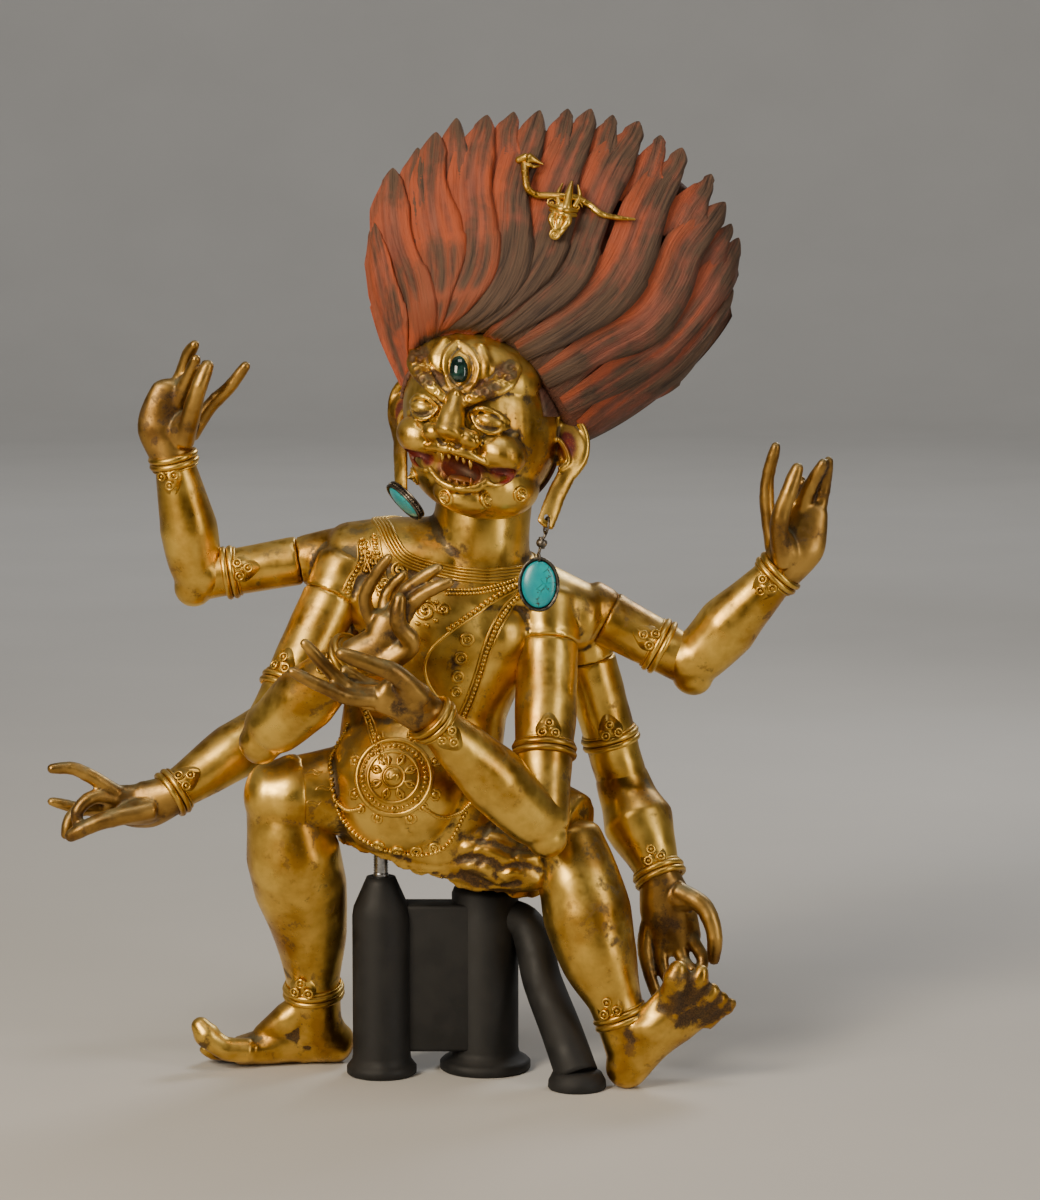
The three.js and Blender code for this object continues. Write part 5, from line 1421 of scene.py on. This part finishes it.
def gilding(name, bright, deep, wear, dust, rough):
    """Fire gilding: a warm burnished face, brown patina in the hollows, grey green dust on top."""
    material, tree, shader, where = new_material(name)
    hollow, crest, paint = (node(tree, "Attribute", out="Fac", attribute_name=kind)
                            for kind in ("hollow", "crest", "paint"))
    broad, cloud, grain = (
        node(tree, "TexNoise", {"Vector": where, "Scale": scale, "Detail": detail, "Roughness": harsh})
        for scale, detail, harsh in ((28, 5, 0.55), (95, 6, 0.62), (900, 3, 0.55)))
    # The gold's own colour drifts from lemon to red gold over a few centimetres.
    drift = node(tree, "Math", (hollow, 0.12), operation="MULTIPLY")
    drift = node(tree, "Math", (broad, drift), operation="ADD")
    drift = node(tree, "MapRange", (drift, 0.38, 0.64))
    gold = node(tree, "Mix", {SHARE: drift, FIRST: srgb(bright), SECOND: srgb(deep)}, MIXED,
                data_type="RGBA")
    # Spots where the gold has gone, and small pits between them.
    spots = node(tree, "MapRange", (cloud, 0.61 - 0.12 * wear, 0.66 - 0.1 * wear))
    patches = node(tree, "MapRange", (broad, 0.46, 0.56))
    spots = node(tree, "Math", (spots, patches), operation="MULTIPLY", use_clamp=True)
    spots = node(tree, "Math", (spots, 0.6 + 0.3 * wear), operation="MULTIPLY")
    pits = node(tree, "TexVoronoi", {"Vector": where, "Scale": 260, "Randomness": 1})
    pits = node(tree, "MapRange", (pits, 0.24, 0.1))
    patches = node(tree, "MapRange", (broad, 0.46, 0.6))
    pits = node(tree, "Math", (pits, patches), operation="MULTIPLY", use_clamp=True)
    pits = node(tree, "Math", (pits, 0.8), operation="MULTIPLY")
    # Patina gathers in cut lines and hollows, and is rubbed off the crests. On the face, hollow also
    # carries painted shade under the jaw and inside the mouth.
    dark = node(tree, "Math", (hollow, 0.36), operation="MULTIPLY")
    dark = node(tree, "Math", (cloud, dark), operation="ADD")
    dark = node(tree, "MapRange", (dark, 0.67 - 0.05 * wear, 0.78, 0, 0.95))
    dark = node(tree, "Math", (dark, spots), operation="MAXIMUM")
    dark = node(tree, "Math", (dark, pits), operation="MAXIMUM")
    rubbed = node(tree, "Math", (crest, 0.6), operation="MULTIPLY")
    dark = node(tree, "Math", (dark, rubbed), operation="SUBTRACT", use_clamp=True)
    brown = node(tree, "Mix", {SHARE: node(tree, "MapRange", (grain, 0.4, 0.6)),
                               FIRST: srgb("#231509"), SECOND: srgb("#523817")}, MIXED, data_type="RGBA")
    colour = node(tree, "Mix", {SHARE: dark, FIRST: gold, SECOND: brown}, MIXED, data_type="RGBA")
    # Dust and verdigris settle on surfaces that face up.
    upward = node(tree, "SeparateXYZ", (node(tree, "NewGeometry", out="Normal"),), "Z")
    upward = node(tree, "MapRange", (upward, 0.05, 0.85))
    thick = node(tree, "MapRange", (cloud, 0.38, 0.58, 0.25, 1))
    settled = node(tree, "Math", (upward, thick), operation="MULTIPLY")
    settled = node(tree, "Math", (settled, dust), operation="MULTIPLY", use_clamp=True)
    colour = node(tree, "Mix", {SHARE: settled, FIRST: colour, SECOND: srgb("#77714F")}, MIXED,
                  data_type="RGBA")
    # Red lacquer stays in the mouth, the ears and the brows.
    red = node(tree, "Mix", {SHARE: node(tree, "MapRange", (cloud, 0.4, 0.62)),
                             FIRST: srgb("#7E2113"), SECOND: srgb("#4A1710")}, MIXED, data_type="RGBA")
    lacquer = node(tree, "MapRange", (grain, 0.32, 0.46, 0.7, 1))
    lacquer = node(tree, "Math", (paint, lacquer), operation="MULTIPLY", use_clamp=True)
    colour = node(tree, "Mix", {SHARE: lacquer, FIRST: colour, SECOND: red}, MIXED, data_type="RGBA")
    # Patina and dust take part of the metal's shine away, lacquer all of it.
    metal = node(tree, "Math", (dark, settled), operation="MAXIMUM")
    metal = node(tree, "Math", (metal, 0.6), operation="MULTIPLY")
    metal = node(tree, "Math", (lacquer, metal), operation="MAXIMUM")
    metal = node(tree, "Math", (1, metal), operation="SUBTRACT", use_clamp=True)
    dull = node(tree, "Math", (settled, lacquer), operation="MAXIMUM")
    dull = node(tree, "Math", (dark, dull), operation="MAXIMUM")
    gloss = node(tree, "MapRange", (cloud, 0.35, 0.65))
    gloss = node(tree, "Mix", {"Factor": gloss, "A": rough, "B": rough + 0.12})
    bump = node(tree, "Bump", {"Strength": 0.2, "Distance": 0.0005, "Height": cloud})
    bump = node(tree, "Bump", {"Strength": 0.12, "Distance": 0.0001, "Height": grain, "Normal": bump})
    feed(tree, shader, {"Base Color": colour, "Metallic": metal, "Normal": bump,
                        "Roughness": node(tree, "Mix", {"Factor": dull, "A": gloss, "B": 0.52})})
    return material


def painted_hair():
    """Orange red paint kept in the grooves, rubbed to grey brown on the ridges, tips and roots."""
    material, tree, shader, where = new_material("orange red hair paint")
    strand, along, deep, hollow, crest = (node(tree, "Attribute", out="Fac", attribute_name=kind)
                                          for kind in ("strand", "along", "fold", "hollow", "crest"))
    lane = node(tree, "CombineXYZ", (strand, along))
    # Both noises are drawn out along the locks, the fibres finer than the streaks.
    fibres, streaks = (
        node(tree, "TexNoise", {"Vector": node(tree, "Mapping", {"Vector": lane, "Scale": scale}),
                                "Scale": 1, "Detail": detail, "Roughness": harsh})
        for scale, detail, harsh in (((0.62, 3.5, 1), 6, 0.65), ((0.35, 3, 1), 5, 0.6)))
    cloud = node(tree, "TexNoise", {"Vector": where, "Scale": 30, "Detail": 6, "Roughness": 0.62})
    # The paint itself runs from brick to a bright orange red where it lies thick.
    red = node(tree, "Mix", {SHARE: node(tree, "MapRange", (streaks, 0.34, 0.66)),
                             FIRST: srgb("#925644"), SECOND: srgb("#6C3B30")}, MIXED, data_type="RGBA")
    fold = node(tree, "MapRange", (cloud, 0.3, 0.55, 0.45, 1))
    fold = node(tree, "Math", (deep, fold), operation="MULTIPLY", use_clamp=True)
    kept = node(tree, "Math", (hollow, fold), operation="MAXIMUM")
    red = node(tree, "Mix", {SHARE: kept, FIRST: red, SECOND: srgb("#A8502F")}, MIXED, data_type="RGBA")
    # Where hands and dusting wore it off, a grey brown ground shows in streaks.
    ground = node(tree, "Mix", {SHARE: node(tree, "MapRange", (fibres, 0.36, 0.64)),
                                FIRST: srgb("#33261F"), SECOND: srgb("#67503F")}, MIXED, data_type="RGBA")
    # It is bare round the brow, measured from a place in metres, and at the tips.
    root = node(tree, "VectorMath", (where, (0.022, -0.045, 0.502)), operation="SUBTRACT")
    root = node(tree, "Mapping", {"Vector": root, "Scale": (13, 9, 19),
                                  "Rotation": (0, math.radians(38), 0)})
    root = node(tree, "VectorMath", (root,), "Value", operation="LENGTH")
    root = node(tree, "MapRange", (root, 0.7, 1.05, 1, 0))
    bare = node(tree, "Math", (root, node(tree, "MapRange", (along, 0.74, 0.97, 0, 1))),
                operation="MAXIMUM")
    worn = node(tree, "MapRange", (cloud, 0.4, 0.6, -0.05, 0.8))
    bare = node(tree, "Math", (bare, worn), operation="ADD")
    worn = node(tree, "MapRange", (streaks, 0.3, 0.62, 0.55, 1.2))
    bare = node(tree, "Math", (bare, worn), operation="MULTIPLY", use_clamp=True)
    worn = node(tree, "Math", (crest, 0.5), operation="MULTIPLY")
    bare = node(tree, "Math", (bare, worn), operation="ADD", use_clamp=True)
    kept = node(tree, "Math", (kept, 0.55), operation="MULTIPLY")
    bare = node(tree, "Math", (bare, kept), operation="SUBTRACT", use_clamp=True)
    colour = node(tree, "Mix", {SHARE: bare, FIRST: red, SECOND: ground}, MIXED, data_type="RGBA")
    colour = node(tree, "Mix", {SHARE: node(tree, "MapRange", (fibres, 0.55, 0.72, 0, 0.6)),
                                FIRST: colour, SECOND: srgb("#35190F")}, MIXED, data_type="RGBA")
    feed(tree, shader, {
        "Base Color": colour, "Specular IOR Level": 0.35,
        "Roughness": node(tree, "MapRange", (fibres, 0.3, 0.7, 0.58, 0.76)),
        "Normal": node(tree, "Bump", {"Strength": 1, "Distance": 0.0016, "Height": fibres})})
    return material


def turquoise():
    """Polished turquoise, paler in clouds, with brown veins and small pits."""
    material, tree, shader, where = new_material("polished turquoise")
    cloud = node(tree, "TexNoise", {"Vector": where, "Scale": 120, "Detail": 5, "Roughness": 0.6})
    veins = node(tree, "TexVoronoi", {"Vector": where, "Scale": 170}, feature="DISTANCE_TO_EDGE")
    veins = node(tree, "MapRange", (veins, 0.05, 0.01))
    patches = node(tree, "MapRange", (cloud, 0.5, 0.6))
    veins = node(tree, "Math", (veins, patches), operation="MULTIPLY", use_clamp=True)
    pits = node(tree, "MapRange", (node(tree, "TexVoronoi", {"Vector": where, "Scale": 330}), 0.2, 0.1))
    patches = node(tree, "MapRange", (cloud, 0.46, 0.56))
    pits = node(tree, "Math", (pits, patches), operation="MULTIPLY", use_clamp=True)
    colour = node(tree, "Mix", {SHARE: node(tree, "MapRange", (cloud, 0.35, 0.65)),
                                FIRST: srgb("#04909C"), SECOND: srgb("#0CA9AE")}, MIXED, data_type="RGBA")
    brown = node(tree, "Math", (veins, pits), operation="MAXIMUM")
    colour = node(tree, "Mix", {SHARE: brown, FIRST: colour, SECOND: srgb("#3B2A1C")}, MIXED,
                  data_type="RGBA")
    height = node(tree, "Math", (1, pits), operation="SUBTRACT")
    feed(tree, shader, {
        "Base Color": colour, "Roughness": 0.3, "IOR": 1.61,
        "Normal": node(tree, "Bump", {"Strength": 0.4, "Distance": 0.0003, "Height": height})})
    return material


def plain(name, cloud, colours, finish, rough=None, bump=None):
    """Two colours mixed by a cloud, for the pieces that need no more.

    cloud: scale, detail and harshness of a noise. colours: two, each with the cloud value where it is
    pure. finish: values of the surface node. rough: roughness in thin and in thick cloud. bump: how
    strong and how deep the cloud stands out, or a finer grain with its own scale and detail.
    """
    material, tree, shader, where = new_material(name)
    scale, detail, harsh = cloud
    cloud = node(tree, "TexNoise", {"Vector": where, "Scale": scale, "Detail": detail, "Roughness": harsh})
    (first, low), (second, high) = colours
    share = node(tree, "MapRange", (cloud, low, high))
    colour = node(tree, "Mix", {SHARE: share, FIRST: srgb(first), SECOND: srgb(second)}, MIXED,
                  data_type="RGBA")
    feed(tree, shader, finish | {"Base Color": colour})
    if rough:
        feed(tree, shader, {"Roughness": node(tree, "MapRange", (cloud, 0.3, 0.7, *rough))})
    if bump:
        strength, distance, *own = bump
        if own:
            cloud = node(tree, "TexNoise", {"Vector": where, "Scale": own[0], "Detail": own[1],
                                            "Roughness": harsh})
        relief = node(tree, "Bump", {"Strength": strength, "Distance": distance, "Height": cloud})
        feed(tree, shader, {"Normal": relief})
    return material


def dark_silver():
    """Silver gone brown black, with the metal showing through in patches."""
    return plain("tarnished silver", (260, 5, 0.6), (("#3A3430", 0.38), ("#8C8478", 0.64)),
                 {"Metallic": 1}, (0.55, 0.34), (0.4, 0.0003))


def dark_stone():
    """Deep green stone with a glassy polish."""
    return plain("polished dark green stone", (180, 4, 0.55), (("#0C1A17", 0.4), ("#24433B", 0.65)),
                 {"Roughness": 0.09, "IOR": 1.6})


def black_paint():
    """Matt black paint with faint rubbed patches."""
    return plain("matt black paint", (60, 5, 0.55), (("#0B0B0B", 0.45), ("#1C1B1A", 0.7)),
                 {}, (0.55, 0.75), (0.3, 0.0001, 1400, 2))


def bare_steel():
    """Bare threaded steel, bright with grey streaks."""
    return plain("bare steel", (300, 4, 0.55), (("#8F9194", 0.4), ("#B9BBBD", 0.65)),
                 {"Metallic": 1}, (0.25, 0.4))


def floor_cloth():
    """Pale matt card that stands under the figure."""
    return plain("pale matt card", (3, 4, 0.55), (("#B9B7B3", 0), ("#C4C2BE", 1)), {"Roughness": 0.9})


# The figure put together.
def paint_near(surface, centre, half, strength=1.0):
    """How strongly each skin point belongs to a painted patch."""
    apart = np.linalg.norm((surface.co - centre) / half, axis=1)
    return strength * np.clip((1.15 - apart) / 0.3, 0, 1)


def dress(piece, material, slot, nodes, paint=None, stains_and_shade=()):
    """Gives a piece its material and the attributes that the material reads, and joins it to its solids."""
    mesh = piece.data
    mesh.materials.clear()
    mesh.materials.append(material)
    note_wear(mesh, stains_and_shade=stains_and_shade)
    write_attribute(mesh, "paint", np.zeros(len(mesh.vertices)) if paint is None else paint)
    return finish(piece, slot, nodes)


bright_gold = gilding("fire gilding", "#F0C65E", "#AA7A2A", 0.55, 0.55, 0.27)
worn_gold = gilding("rubbed gilding", "#C49A50", "#7C5A2E", 0.8, 0.8, 0.33)

dress(torso(), bright_gold, "gilding", ["torso"], stains_and_shade=STAINS)
for name, arm in ARMS.items():
    dress(upper_arm(name + "_upper_arm", arm), bright_gold, "gilding", [name + "_upper_arm"], stains_and_shade=STAINS)
    dress(forearm(name + "_forearm", arm), bright_gold, "gilding", [name + "_forearm"], stains_and_shade=STAINS)
    palm = HANDS[name]["palm"]
    tips = [HANDS[name][key][-1] for key in ("thumb", "index", "middle", "ring", "little")]
    dark = [(np.add(arm["wrist"], mixed(palm[1], palm[2], 0.4)), (12, 14, 13), 0.6)]
    dark += [(np.add(arm["wrist"], tip), (13, 13, 13), 0.5) for tip in tips]
    dress(hand(name + "_hand", HANDS[name], arm["wrist"]), worn_gold, "worn_gilding", [name + "_hand"],
          stains_and_shade=dark)
for side in ("right", "left"):
    dress(leg(side), bright_gold, "gilding", [side + "_lower_leg"], stains_and_shade=STAINS)

face_piece = head()
skin_points = Surface(face_piece)
back_in = np.array(FACE.inverted())
local = skin_points.co @ back_in[:3, :3].T + back_in[:3, 3]
skin_points.co = local
red = np.zeros(len(local))
# Red lacquer at the mouth and its corners and in the ears, and a trace in the brows.
LACQUER = (
    ((30, -45, -21), (11, 9, 7.5), 1), ((-27, -45, -20.5), (11, 9, 8), 1),
    ((2, -48, -24), (19, 9, 10.5), 0.75),
    ((56, 10, -1), (7, 9, 11), 1), ((-56, 10, -1), (7, 9, 11), 1),
    ((20, -50, 29), (11, 9, 8), 0.2), ((-20, -50, 29), (11, 9, 8), 0.2),
    ((30, -38, 40), (9, 10, 9), 0.2), ((-30, -38, 40), (9, 10, 9), 0.2))
for centre, half, strength in LACQUER:
    red = np.maximum(red, paint_near(skin_points, centre, half, strength))
# Brown patina in the brows, round the third eye and round the chin bosses under the lip, the lower half of
# the eyeballs darker, and painted shade under the jaw and inside the mouth.
FACE_PATINA_AND_SHADE = [(FACE @ Vector(centre), half, strength) for centre, half, strength in (
    ((20, -50, 28), (13, 12, 8), 1.1), ((-20, -50, 28), (13, 12, 8), 1.1), ((30, -38, 40), (9, 12, 9), 1.1),
    ((-30, -38, 40), (9, 12, 9), 1.1), ((1, -52, 39), (11, 8, 14), 0.5),
    # The lower half of each eyeball is made darker.
    ((22, -54, 6), (9, 8, 5.5), 0.75), ((-22, -54, 6), (9, 8, 5.5), 0.75),
    ((46, -20, 30), (14, 24, 18), 0.3),
    ((19, -48, -40), (8, 8, 5), 0.5), ((36, -42, -34), (8, 8, 6), 0.6), ((-6, -50, -43), (7, 8, 5), 0.4),
    # Painted shade under the jaw and inside the mouth.
    ((10, -20, -52), (40, 34, 8), 0.5), ((2, -44, -23), (16, 13, 7), 1.2))]
dress(face_piece, bright_gold, "gilding", ["head"], red, FACE_PATINA_AND_SHADE)
dress(third_eye(), dark_stone(), "dark_stone", ["third_eye_stone"])
hair = flame_hair()
snake = hair_snake(Surface(hair))
dress(hair, painted_hair(), "painted_hair", ["flame_hair"])
dress(snake, bright_gold, "gilding", ["hair_snake"])
silver, blue = dark_silver(), turquoise()
dress(left_drop(), silver, "dark_silver", ["left_earring_drop"])
for side in ("left", "right"):
    dress(setting(side), silver, "dark_silver", [side + "_earring_setting"])
    dress(turquoise_stone(side), blue, "turquoise", [side + "_earring_turquoise"])
dress(stand_body(), black_paint(), "black_paint", ["stand_body"])
dress(stand_pin(), bare_steel(), "steel", ["stand_pin"])


# Floor, light and camera.
def floor():
    """A round floor, in metres, that curves up into a wall far away on every side."""
    flat, curve, whole = 5.5, 2.0, 15.0
    bm = bmesh.new()
    made, turn, rise = wrapped_grid(bm, 72, 72)
    run = rise * whole
    bend = np.clip(run - flat, 0, math.pi) / 2
    out = np.where(run < flat, run, flat + curve * np.sin(bend))
    z = np.where(run < flat, 0, curve * (1 - np.cos(bend)) + np.maximum(run - flat - math.pi, 0))
    place(made, np.column_stack([out * np.cos(turn * math.tau), out * np.sin(turn * math.tau), z]))
    piece = raw_piece("floor", bm)
    piece.data.flip_normals()
    piece.data.polygons.foreach_set("use_smooth", [True] * len(piece.data.polygons))
    piece.data.materials.append(floor_cloth())
    # A hair below the feet, so that the two never lie in one plane.
    piece.location.z = -0.0002
    return piece


def soft_light(name, place_at, aim, size, power, tint="#FFFFFF"):
    """A lamp with a broad rectangular face, aimed at a place; metres and watts."""
    data = bpy.data.lights.new(name, "AREA")
    data.shape = "RECTANGLE"
    data.size, data.size_y = size
    data.energy = power
    data.color = srgb(tint)[:3]
    lamp = bpy.data.objects.new(name, data)
    lamp.location = place_at
    lamp.rotation_euler = (Vector(aim) - Vector(place_at)).to_track_quat("-Z", "Y").to_euler()
    bpy.context.scene.collection.objects.link(lamp)
    return lamp


# Warm key light from the left, weak fill from the right, a rim light behind and one for the backdrop.
middle = (0.0, 0.0, 0.32)
lamps = [
    soft_light("key", (-1.2, -1.5, 1.3), middle, (0.75, 1.2), 54, "#FFEFD6"),
    soft_light("fill", (1.5, -1.1, 0.75), middle, (0.35, 1.5), 11, "#FFF6EA"),
    soft_light("top", (0.1, -0.5, 2.3), middle, (1.0, 0.6), 10, "#FFF8F0"),
    soft_light("rim", (0.8, 1.3, 1.3), middle, (0.7, 0.5), 12),
    soft_light("backdrop", (0, 2.2, 3.4), (0, 6.5, 1.0), (4, 1), 110),
]
world = bpy.data.worlds.new("studio")
bpy.context.scene.world = world
world.use_nodes = True
world.node_tree.nodes["Background"].inputs[0].default_value = srgb("#8C8C8C")
world.node_tree.nodes["Background"].inputs[1].default_value = 0.09

ground = floor()

# The photo's view: from about 2.4 m in front, at the height of the hair and a little downward.
view = bpy.data.cameras.new("photo view")
view.lens = 110.76
view.sensor_fit = "VERTICAL"
view.sensor_height = 36
view.sensor_width = 36
camera = bpy.data.objects.new("photo view", view)
camera.location = (0.035, -2.3821, 0.6055)
camera.rotation_euler = (Vector((0.035, 0, 0.313)) - camera.location).to_track_quat("-Z", "Y").to_euler()
bpy.context.scene.collection.objects.link(camera)
bpy.context.scene.camera = camera
